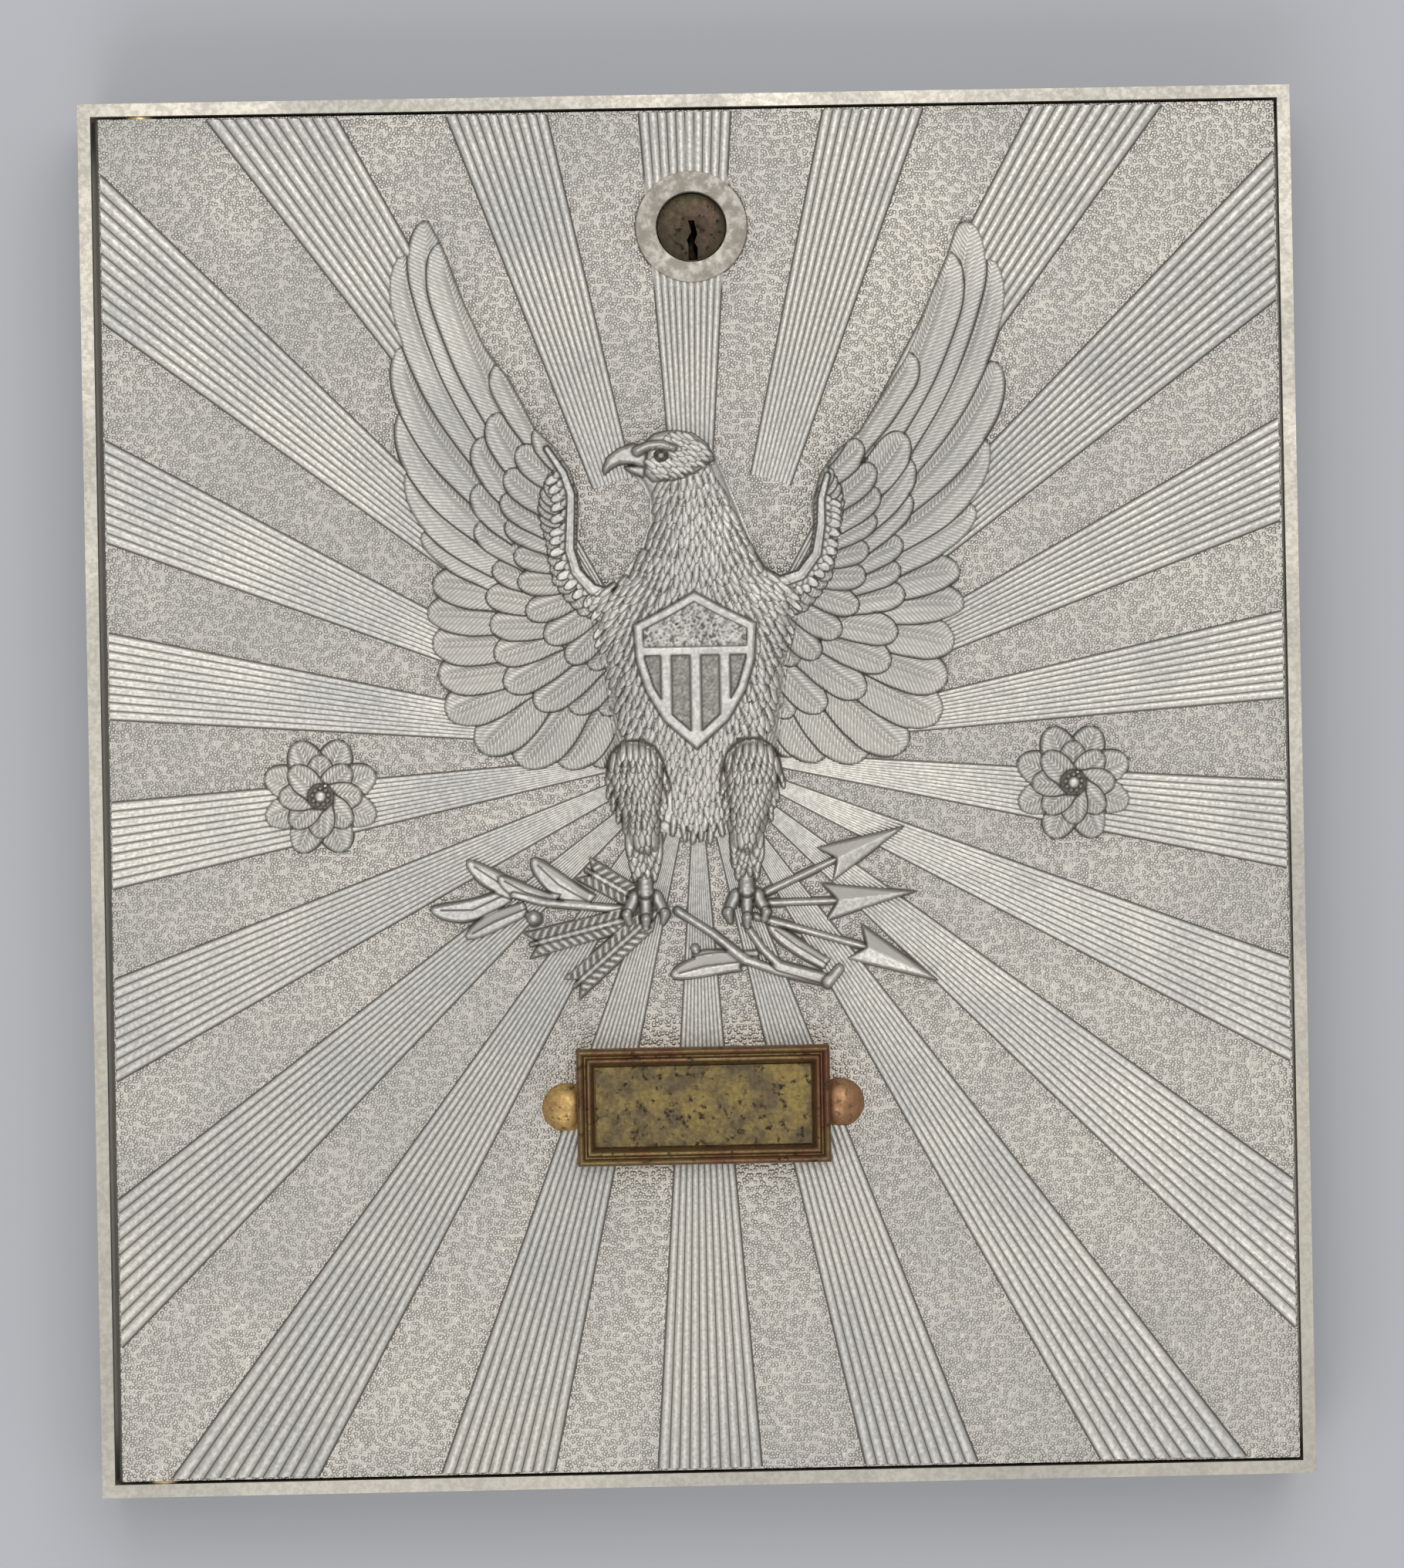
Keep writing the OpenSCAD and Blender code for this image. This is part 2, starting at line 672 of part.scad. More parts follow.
// Outline of all that the eagle covers of the ground, a little wider than its thin parts
module eagle_outline() {
    for (side = [-1, 1]) scale([side, 1, 1]) wing_outline();
    polygon([
        [-16, 4], [-15, 40], [-9, 46], [-7.5, 54], [-16.5, 55], [-16, 61], [-9, 62.5], [-4, 65.5],
        [2, 64.5], [6, 58], [9, 46], [14, 40], [16, 4], [15, -14], [-15, -14]
    ]);
    polygon([
        [-44, -9], [-20, -8], [-12, -10], [13, -10], [24, -6.5], [38, -5], [41, -17], [45, -34],
        [40, -38.5], [20, -38], [-22, -37.5], [-31, -27], [-46, -25]
    ]);
}

module head() {
    limb([0, 36], [-1, 50], 11, 7, 3.8, 3.6);
    limb([-1, 50], [-1.5, 58], 7, 5.4, 3.6, 3.5);
    dome([-8.4, 58.6], 4.6, 2.4, 2.9);
    roll([[[-9, 58.8], 1.9, 2.5], [[-12, 58.6], 1.6, 2.2], [[-14.6, 57.4], 1, 1.6], [[-14.6, 55.6], 0.4, 0.8]]);
    dome([-5.6, 59.6], 1.3, 1, 3.9);
}

// Outline of the shield, whose upper corners stand out
module shield_outline() {
    polygon([
        [0, 35.2], [-5, 32], [-10.8, 29.6], [-10.2, 22], [-7.6, 15.4], [-4, 10.6], [0, 7],
        [4, 10.6], [7.6, 15.4], [10.2, 22], [10.8, 29.6], [5, 32]
    ]);
}

shield_rim = 1.1;
stripe_pitch = 5;
stripe_w = 1.2;
chief_foot = 24;

// Rim, bars and chief stand in front of a recessed floor
module shield() {
    linear_extrude(eagle_design_rise - 0.6) offset(delta = -shield_rim / 2) shield_outline();
    linear_extrude(eagle_design_rise) {
        difference() {
            shield_outline();
            offset(delta = -shield_rim) shield_outline();
        }
        intersection() {
            offset(delta = -shield_rim / 2) shield_outline();
            union() {
                translate([-12, chief_foot]) square([24, stripe_w]);
                for (i = [-1 : 1]) translate([i * stripe_pitch - stripe_w / 2, 5])
                    square([stripe_w, chief_foot - 4]);
            }
        }
    }
}

// Thigh, shank and three toes that close over the bundle
module leg(hip, knee, foot) {
    limb(hip, knee, 5, 3.1, 3.3, 2.6);
    limb(knee, foot, 1.9, 1.7, 2.2, 2.1);
    for (toe = [-3.6, 0, 3.6])
        roll([[foot, 1.2, 2.1], [foot + [toe, -4], 1.5, 2.4], [foot + [toe * 1.1, -6], 0.5, 1.4]]);
}

// Shaft, barbed head and fletching of one arrow
module arrow(tail, tip) {
    run = norm(tip - tail);
    translate(tail) rotate(atan2(tip[1] - tail[1], tip[0] - tail[0])) {
        roll([[[0, 0], 0.7, 1.5], [[run - 9, 0], 0.7, 1.4]]);
        translate([run - 9, 0]) linear_extrude(1.7, scale = 0.7)
            polygon([[9, 0], [-6, 3.6], [-3.4, 0], [-6, -3.6]]);
        for (s = [-1, 1]) feather([9, s * 0.3], [-2, s * 2.1], 3.6, 1.5);
    }
}

// A branch with pointed leaves on both sides
module branch(from, to, leaves) {
    dir = unit(to - from);
    roll([[from, 0.9, 1.5], [to, 0.6, 1]]);
    for (i = [0 : leaves - 1], s = [-1, 1]) {
        at = mix(from, to, 0.25 + 0.7 * i / leaves);
        feather(at, at + 11 * dir + s * 5.5 * across(dir), 4, 1.7, s * 1.4);
    }
}

module eagle_size() {
    k = eagle_h / eagle_design_h;
    scale([k, k, eagle_rise / eagle_design_rise]) children();
}

module eagle_relief() {
    color("#d2cbbd") in_place() eagle_size() union() {
        wing();
        mirror([1, 0, 0]) wing();
        dome([0, 20], 14.5, 22, eagle_design_rise - 0.5, 24);
        head();
        for (x = [-4, 0, 4]) feather([x * 0.6, 4], [x * 1.3, -17 + abs(x) / 2], 4.6, 2.2);
        shield();
        leg([-10.8, 3.6], [-10, -12], [-9.9, -17.2]);
        leg([9.8, 3.6], [8, -12], [7.8, -17.5]);
        branch([-7, -21], [-38, -16], 3);
        branch([0, -25], [20, -32], 1);
        arrow([-19, -16], [36.5, -8.5]);
        arrow([-24, -24], [39, -18.5]);
        arrow([-20, -31], [42, -34]);
    }
}

// ---------- rosettes ----------

module at_rosettes() {
    for (side = [-1, 1]) translate([side * rosette_x, 0]) children();
}

module rosette() {
    for (i = [0 : petal_count - 1]) rotate(i * 360 / petal_count)
        feather([0, 1.5], [0, rosette_r - 0.2], rosette_r * 0.62, rosette_rise);
    dome([0, 0], rosette_r * 0.24, rosette_r * 0.24, rosette_rise * 1.3);
}

module side_rosettes() {
    color("#d2cbbd") in_place() at_rosettes() rosette();
}

// ---------- number plate ----------

module plate_outline() {
    square([plate_w, plate_h], center = true);
    for (side = [-1, 1]) translate([side * ear_x, 0]) circle(ear_r, $fn = fine);
}

// A domed ear: the cap of a ball
module ear() {
    ball_r = (pow(ear_r, 2) + pow(ear_rise, 2)) / (2 * ear_rise);
    intersection() {
        translate([0, 0, ear_rise - ball_r]) sphere(ball_r, $fn = fine);
        cylinder(r = ear_r, h = ear_rise, $fn = fine);
    }
}

module plate_back() {
    color("#a8803c") in_place() {
        slab(-plate_back_t, 0) translate([0, plate_y])
            square([plate_w, plate_h], center = true);
        difference() {
            at_studs() ear();
            slab(-2 * plate_proud, -plate_back_t) translate([0, plate_y])
                square([plate_w, plate_h], center = true);
        }
        slab(0, stud_len) at_studs() circle(d = stud_d, $fn = fine);
    }
}

// Steps of the moulding: how far in from the holder's edge, and how far out
moulding_share = [
    [0, 0], [0, 0.62], [0.08, 0.9], [0.2, 1], [0.34, 0.9], [0.42, 0.68], [0.52, 0.66],
    [0.6, 0.82], [0.72, 0.86], [0.84, 0.74], [1, 0.34], [1, 0]
];

// The mitred holder: one ring of four corners for each point of the moulding
module plate_holder() {
    height = plate_proud - plate_back_t;
    rings = [for (m = moulding_share)
        let(x = plate_w / 2 - m[0] * moulding_w, y = plate_h / 2 - m[0] * moulding_w,
            z = plate_back_t + m[1] * height)
        [[x, y, z], [-x, y, z], [-x, -y, z], [x, -y, z]]];
    n = len(rings);
    color("#7c5a2c") in_place() translate([0, plate_y]) polyhedron(
        points = [for (r = rings, p = r) p],
        faces = [for (i = [0 : n - 1], j = [0 : 3])
            let(a = 4 * i + j, b = 4 * i + (j + 1) % 4, c = 4 * ((i + 1) % n) + (j + 1) % 4,
                d = 4 * ((i + 1) % n) + j)
            [a, d, c, b]]
    );
}

module number_panel() {
    w = plate_w - 2 * (moulding_w + panel_gap);
    h = plate_h - 2 * (moulding_w + panel_gap);
    color("#5e5226") in_place() slab(-plate_back_t - panel_t, -plate_back_t)
        translate([0, plate_y]) square([w, h], center = true);
}

module stud_nuts() {
    color("#a8803c") in_place() slab(leaf_t, leaf_t + stud_nut_t) at_studs() difference() {
        circle(d = stud_nut_af / cos(30), $fn = 6);
        circle(d = stud_d + 2 * fixed_fit, $fn = fine);
    }
}

// ---------- cylinder ----------

// Places along the plug where a pin chamber stands, drawn with z as up
module at_chambers() {
    for (i = [0 : pin_count - 1])
        translate([lock_x, lock_up, -(leaf_t + pin_first + i * pin_pitch)])
            rotate([-90, 0, 0]) let($i = i) children();
}

module shell_outline(gap) {
    circle(d = shell_d + 2 * gap, $fn = fine);
    translate([-tower_w / 2 - gap, 0]) square([tower_w + 2 * gap, tower_up + gap]);
}

module cylinder_shell() {
    color("#a58a52") in_place() difference() {
        slab(leaf_t, shell_rear) at_lock() shell_outline(0);
        slab(0, shell_rear + overcut) at_lock() circle(d = plug_d + 2 * running_fit, $fn = fine);
        at_chambers() cylinder(d = tumbler_d + 2 * tumbler_fit, h = tower_up + overcut, $fn = fine);
    }
}

module driver_pins() {
    color("#b8b3a6") in_place() at_chambers()
        translate([0, 0, driver_foot]) cylinder(d = tumbler_d, h = driver_len, $fn = fine);
}

// A coil of wire standing on z = 0
module coil(r, wire_r, height, turns) {
    steps = 7;
    sides = 4;
    rings = turns * steps;
    sections = [for (i = [0 : rings])
        let(a = i * 360 / steps, z = wire_r + (height - 2 * wire_r) * i / rings)
        [for (j = [0 : sides - 1])
            let(b = -j * 360 / sides, d = r + wire_r * cos(b)) [d * cos(a), d * sin(a), z + wire_r * sin(b)]]];
    loft(sections);
}

module driver_springs() {
    foot = driver_foot + driver_len;
    mean_r = tumbler_d / 2 - wire_d / 2;
    color("#8d8d88") in_place() at_chambers()
        translate([0, 0, foot]) coil(mean_r, wire_d / 2, tower_up - foot, spring_turns);
}

module chamber_strip() {
    color("#a58a52") in_place() slab(leaf_t, shell_rear) at_lock()
        translate([-tower_w / 2, tower_up]) square([tower_w, strip_t]);
}

// Section of the keyway: a slot that steps to one side and back, open at the bottom
module keyway_outline() {
    w = keyway_w / 2;
    foot = -plug_head_d / 2 - overcut;
    polygon([
        [-w, keyway_up], [w, keyway_up], [w + ward_step, -1.2], [w, -2.6], [w + ward_step, -3.6],
        [w + ward_step, foot], [-w, foot], [-w, -3.2], [-w - ward_step / 2, -2.2], [-w + ward_step, -0.8]
    ]);
}

module lock_plug() {
    color("#6d5230") in_place() difference() {
        union() {
            slab(plug_recess, leaf_t - head_gap) at_lock() circle(d = plug_head_d, $fn = fine);
            slab(leaf_t - head_gap, cam_front) at_lock() circle(d = plug_d, $fn = fine);
        }
        slab(0, shell_rear - plug_recess) at_lock() keyway_outline();
        at_chambers() translate([0, 0, keyway_up - 0.1])
            cylinder(d = tumbler_d + 2 * tumbler_fit, h = plug_d / 2, $fn = fine);
        slab(cam_front - cam_screw_bite - 0.3, cam_front + overcut) at_lock()
            circle(d = cam_screw_d + 2 * fixed_fit, $fn = fine);
    }
}

// Lengths of the key pins from the front of the plug to its back
key_pin_len = [3.4, 4.2, 3, 4.6, 3.8];

module key_pins() {
    top = sqrt(pow(shear_up, 2) - pow(tumbler_d / 2, 2)) - tumbler_fit;
    point = tumbler_d / 2 - 0.3;
    tip_r = 0.3;
    color("#b08d4a") in_place() at_chambers() {
        foot = top - key_pin_len[$i];
        rotate_extrude($fn = fine) polygon([
            [0, foot], [tip_r, foot], [tumbler_d / 2, foot + point], [tumbler_d / 2, top], [0, top]
        ]);
    }
}

// ---------- bolt work ----------

cam_screw_d = 2;
cam_screw_head_d = 4;
cam_screw_bite = 0.9;

module cam_disc() {
    color("#9b9689") in_place() difference() {
        slab(cam_front, cam_front + cam_t) at_lock() circle(d = cam_d, $fn = fine);
        slab(0, cam_front + cam_t + overcut) at_lock() {
            circle(d = cam_screw_d + 2 * fixed_fit, $fn = fine);
            translate([crank_at, -crank_at]) circle(d = crank_d + 2 * fixed_fit, $fn = fine);
        }
        at_lock() cam_screw_head(fixed_fit);
    }
}

// The countersunk head, flush with the back of the cam disc
module cam_screw_head(gap) {
    rise = (cam_screw_head_d - cam_screw_d) / 2;
    translate([0, 0, -cam_front - cam_t])
        cylinder(d1 = cam_screw_head_d + 2 * gap, d2 = cam_screw_d + 2 * gap, h = rise, $fn = fine);
}

module cam_screw() {
    color("#8d8d88") in_place() difference() {
        union() {
            slab(cam_front - cam_screw_bite, cam_front + cam_t) at_lock()
                circle(d = cam_screw_d, $fn = fine);
            at_lock() cam_screw_head(0);
        }
        slab(cam_front + cam_t - 0.5, cam_front + cam_t + overcut) at_lock()
            square([cam_screw_head_d + overcut, 0.6], center = true);
    }
}

module crank_pin() {
    color("#8d8d88") in_place() slab(cam_front, bolt_rear) at_lock()
        translate([crank_at, -crank_at]) circle(d = crank_d, $fn = fine);
}

// The flat bolt, drawn back: a cross slot for the crank pin and bevelled upper corners
module bolt_outline() {
    bevel = 1.5;
    half = bolt_w / 2;
    foot = bolt_top - bolt_len;
    slot_r = crank_d / 2 + slot_play;
    slot_run = crank_r - crank_at;
    difference() {
        polygon([
            [-half, foot], [half, foot], [half, bolt_top - bevel], [half - bevel, bolt_top],
            [-half + bevel, bolt_top], [-half, bolt_top - bevel]
        ]);
        translate([crank_at, -crank_at]) {
            circle(slot_r, $fn = fine);
            translate([slot_run, 0]) circle(slot_r, $fn = fine);
            translate([0, -slot_r]) square([slot_run, 2 * slot_r]);
        }
    }
}

module sliding_bolt() {
    color("#b08d4a") in_place() slab(bolt_front, bolt_rear) at_lock() bolt_outline();
}

// ---------- lock case ----------

module case_outline() {
    translate([-case_w / 2, -case_down]) square([case_w, case_down + case_top]);
}

module at_cover_screws() {
    x = case_w / 2 - cover_screw_in;
    for (sx = [-1, 1], y = [cover_screw_in - case_down, case_top - cover_screw_in])
        translate([sx * x, y]) children();
}

module lock_case() {
    channel_w = bolt_w + 2 * bolt_play;
    channel_foot = bolt_top - bolt_len - bolt_play;
    color("#9d9484") in_place() difference() {
        union() {
            slab(leaf_t, case_rear) at_lock() case_outline();
            slab(lug_front, lug_rear) at_lock() at_posts() case_lug();
        }
        slab(0, shell_rear + fixed_fit) at_lock() {
            shell_outline(fixed_fit);
            translate([-tower_w / 2 - fixed_fit, 0])
                square([tower_w + 2 * fixed_fit, tower_up + strip_t + fixed_fit]);
        }
        slab(shell_rear, channel_front + overcut) at_lock()
            circle(d = cam_d + 4 * cam_gap, $fn = fine);
        slab(channel_front, case_rear + overcut) at_lock()
            translate([-channel_w / 2, channel_foot]) square([channel_w, case_top + case_down + bolt_len]);
        slab(0, lug_rear + overcut) at_lock() at_posts()
            circle(d = lock_screw_d + 2 * fixed_fit, $fn = fine);
        slab(case_rear - cover_screw_bite - 0.3, case_rear + overcut) at_lock() at_cover_screws()
            circle(d = cover_screw_d + 2 * fixed_fit, $fn = fine);
    }
}

// An ear of the case: a round end on a neck that runs into the wall
module case_lug() {
    neck = post_x - case_w / 2 + overcut;
    circle(d = post_d, $fn = fine);
    translate([$side > 0 ? -neck : 0, -post_d / 2]) square([neck, post_d]);
}

cover_screw_bite = 5;

module case_cover() {
    color("#b3a88f") in_place() difference() {
        slab(case_rear, case_rear + cover_t) at_lock() case_outline();
        slab(case_rear - overcut, case_rear + cover_t + overcut) at_lock() at_cover_screws()
            circle(d = cover_screw_d + 2 * fixed_fit, $fn = fine);
    }
}

// A cheese-head screw: its shank from one depth to its seat, its slotted head behind that
module screw(tip, seat, d) {
    slab(tip, seat) circle(d = d, $fn = fine);
    difference() {
        slab(seat, seat + screw_head_t) circle(d = 1.85 * d, $fn = fine);
        slab(seat + screw_head_t / 2, seat + screw_head_t + overcut)
            square([2 * d, 0.25 * d], center = true);
    }
}

module cover_screws() {
    seat = case_rear + cover_t;
    color("#a8803c") in_place() at_lock() at_cover_screws()
        screw(case_rear - cover_screw_bite, seat, cover_screw_d);
}

module lock_screws() {
    color("#a8803c") in_place() at_lock() at_posts()
        screw(lug_front - lock_screw_bite, lug_rear, lock_screw_d);
}

// ---------- nodes ----------

frame();
hinge_pin_upper();
hinge_pin_lower();
hinge_washers();
door_leaf();
sunburst_rays();
eagle_relief();
side_rosettes();
plate_back();
plate_holder();
number_panel();
stud_nuts();
cylinder_shell();
driver_pins();
driver_springs();
chamber_strip();
lock_plug();
key_pins();
cam_disc();
cam_screw();
crank_pin();
sliding_bolt();
lock_case();
case_cover();
cover_screws();
lock_screws();
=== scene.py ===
"""Post office box door: the cast leaf with its sunburst and eagle, its frame, lock and number plate."""

import json
import logging
import math
from dataclasses import dataclass, field
from enum import Enum
from typing import Any, Callable, Iterable, Sequence

import bmesh
import bpy
import numpy as np
from mathutils import Euler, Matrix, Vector

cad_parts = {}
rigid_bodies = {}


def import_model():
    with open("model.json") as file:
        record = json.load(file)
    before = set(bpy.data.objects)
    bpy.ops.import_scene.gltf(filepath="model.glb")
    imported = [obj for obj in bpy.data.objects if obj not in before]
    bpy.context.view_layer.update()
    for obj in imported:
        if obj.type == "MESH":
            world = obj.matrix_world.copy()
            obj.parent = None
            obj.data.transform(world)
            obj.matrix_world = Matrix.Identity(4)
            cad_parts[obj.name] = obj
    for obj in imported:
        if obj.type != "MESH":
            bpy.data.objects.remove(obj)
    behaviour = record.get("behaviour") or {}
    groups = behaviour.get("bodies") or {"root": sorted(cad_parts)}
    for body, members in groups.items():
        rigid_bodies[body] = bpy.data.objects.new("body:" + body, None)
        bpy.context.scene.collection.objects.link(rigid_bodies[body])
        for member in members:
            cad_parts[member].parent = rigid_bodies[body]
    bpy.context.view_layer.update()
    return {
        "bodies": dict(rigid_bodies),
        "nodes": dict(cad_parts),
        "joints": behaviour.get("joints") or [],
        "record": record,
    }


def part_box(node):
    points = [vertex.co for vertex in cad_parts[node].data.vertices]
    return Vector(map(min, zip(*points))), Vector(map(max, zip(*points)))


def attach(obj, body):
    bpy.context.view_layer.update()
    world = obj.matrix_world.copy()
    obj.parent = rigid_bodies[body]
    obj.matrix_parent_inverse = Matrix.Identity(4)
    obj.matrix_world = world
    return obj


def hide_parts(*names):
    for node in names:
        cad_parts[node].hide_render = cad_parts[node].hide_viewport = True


LOG = logging.getLogger("box_door")

Array = np.ndarray
Point = tuple[float, float]
# A feather's tip across and up, its root across and up, half its width, and its bow.
Plume = tuple[float, float, float, float, float, float]
Place = tuple[float, float, float]
Window = tuple[slice, slice]
Profile = Callable[[Array, Array], Array]
Socket = bpy.types.NodeSocket

# Metres: one millimetre, the leaf's ground and the height of the door's middle.
MM = 0.001
GROUND_Y = -0.01155
MIDDLE_Z = 0.1238
# Millimetres off the door's middle: the lock, and the radius of the ring round it.
LOCK_X = 0.8
LOCK_Z = 100.2
RING_R = 9.9

# A feather's shaft, the dark streaks beside it as offset, width and relative depth, their cut and their dirt
# and painted shade, and its barbs.
SHAFT_RISE = 0.22
SHAFT_WIDE = 0.3
STREAKS = ((0.75, 0.34, 1.0), (2.1, 0.36, 0.8))
STREAK_CUT = 0.14
STREAK_DIRT_AND_SHADE = 0.55
BARB_PITCH = 0.8


def smooth(low: float, high: float, value: Array) -> Array:
    """A soft step from 0 at low to 1 at high."""
    share = np.clip((value - low) / (high - low), 0.0, 1.0)
    return share * share * (3.0 - 2.0 * share)


def face_point(x: float, z: float) -> Vector:
    """A place on the leaf's face in metres, from millimetres off the door's middle."""
    return Vector((x * MM, GROUND_Y, MIDDLE_Z + z * MM))


# ---------------------------------------------------------------- node trees


class Graph:
    """Short hand for building a material's or a modifier's node tree."""

    def __init__(self, tree: bpy.types.NodeTree) -> None:
        """Keeps the tree that the nodes go into."""
        self.tree = tree

    def node(self, kind: str, inputs: dict[Any, Any] | None = None, **settings: Any) -> bpy.types.Node:
        """Adds a node.

        Args:
            kind: Type name of the node.
            inputs: Sockets to link, or values to set, by socket name or number.
            settings: Properties of the node.

        Returns:
            The new node.
        """
        made = self.tree.nodes.new(kind)
        for name, value in settings.items():
            setattr(made, name, value)
        for key, value in (inputs or {}).items():
            if isinstance(value, Socket):
                self.tree.links.new(value, made.inputs[key])
            else:
                made.inputs[key].default_value = value
        return made

    def out(self, kind: str, inputs: dict[Any, Any] | None = None, **settings: Any) -> Socket:
        """Adds a node and returns its first output."""
        return self.node(kind, inputs, **settings).outputs[0]

    def math(self, operation: str, a: Any, b: Any = 0.0, clamp: bool = False) -> Socket:
        """Adds a math node and returns its result."""
        return self.out("ShaderNodeMath", {0: a, 1: b}, operation=operation, use_clamp=clamp)

    def plus(self, a: Any, b: Any, clamp: bool = False) -> Socket:
        """Adds two values."""
        return self.math("ADD", a, b, clamp)

    def minus(self, a: Any, b: Any) -> Socket:
        """Takes the second value from the first."""
        return self.math("SUBTRACT", a, b)

    def times(self, a: Any, b: Any) -> Socket:
        """Multiplies two values."""
        return self.math("MULTIPLY", a, b)

    def over(self, a: Any, b: Any, clamp: bool = False) -> Socket:
        """Divides the first value by the second."""
        return self.math("DIVIDE", a, b, clamp)

    def larger(self, a: Any, b: Any, clamp: bool = False) -> Socket:
        """Takes the larger of two values."""
        return self.math("MAXIMUM", a, b, clamp)

    def smaller(self, a: Any, b: Any) -> Socket:
        """Takes the smaller of two values."""
        return self.math("MINIMUM", a, b)

    def ramp(
        self, value: Any, low: float, high: float, to_low: float = 0.0, to_high: float = 1.0
    ) -> Socket:
        """Maps a value from one range to another with a soft step.

        Args:
            value: What is mapped.
            low: Where the range starts.
            high: Where it ends; it may lie below the start.
            to_low: What the start becomes.
            to_high: What the end becomes.

        Returns:
            The mapped value.
        """
        made = self.node(
            "ShaderNodeMapRange",
            {"Value": value, "From Min": low, "From Max": high, "To Min": to_low, "To Max": to_high},
            interpolation_type="SMOOTHSTEP",
        )
        return made.outputs["Result"]

    def noise(self, place: Any, scale: float, detail: float, roughness: float) -> Socket:
        """Adds a noise pattern on the given coordinates and returns its value."""
        values = {"Vector": place, "Scale": scale, "Detail": detail, "Roughness": roughness}
        return self.node("ShaderNodeTexNoise", values).outputs["Fac"]

    def blend(self, share: Any, a: Any, b: Any) -> Socket:
        """Mixes two colours.

        Args:
            share: How much of the second colour, from 0 to 1.
            a: First colour or socket.
            b: Second colour or socket.

        Returns:
            The mixed colour.
        """
        made = self.node("ShaderNodeMix", data_type="RGBA", blend_type="MIX")
        for socket, value in ((made.inputs[0], share), (made.inputs[6], a), (made.inputs[7], b)):
            if isinstance(value, Socket):
                self.tree.links.new(value, socket)
            else:
                socket.default_value = value if socket is made.inputs[0] else (*value[:3], 1.0)
        return made.outputs[2]

    def link(self, out: Socket, into: Socket) -> None:
        """Links an output to an input."""
        self.tree.links.new(out, into)


# ---------------------------------------------------------------- finishes


class Surface(Enum):
    """How a casting's skin is worked."""

    STIPPLED = "stippled"
    CARVED = "carved"
    SMOOTH = "smooth"
    MACHINED = "machined"
    CORRODED = "corroded"


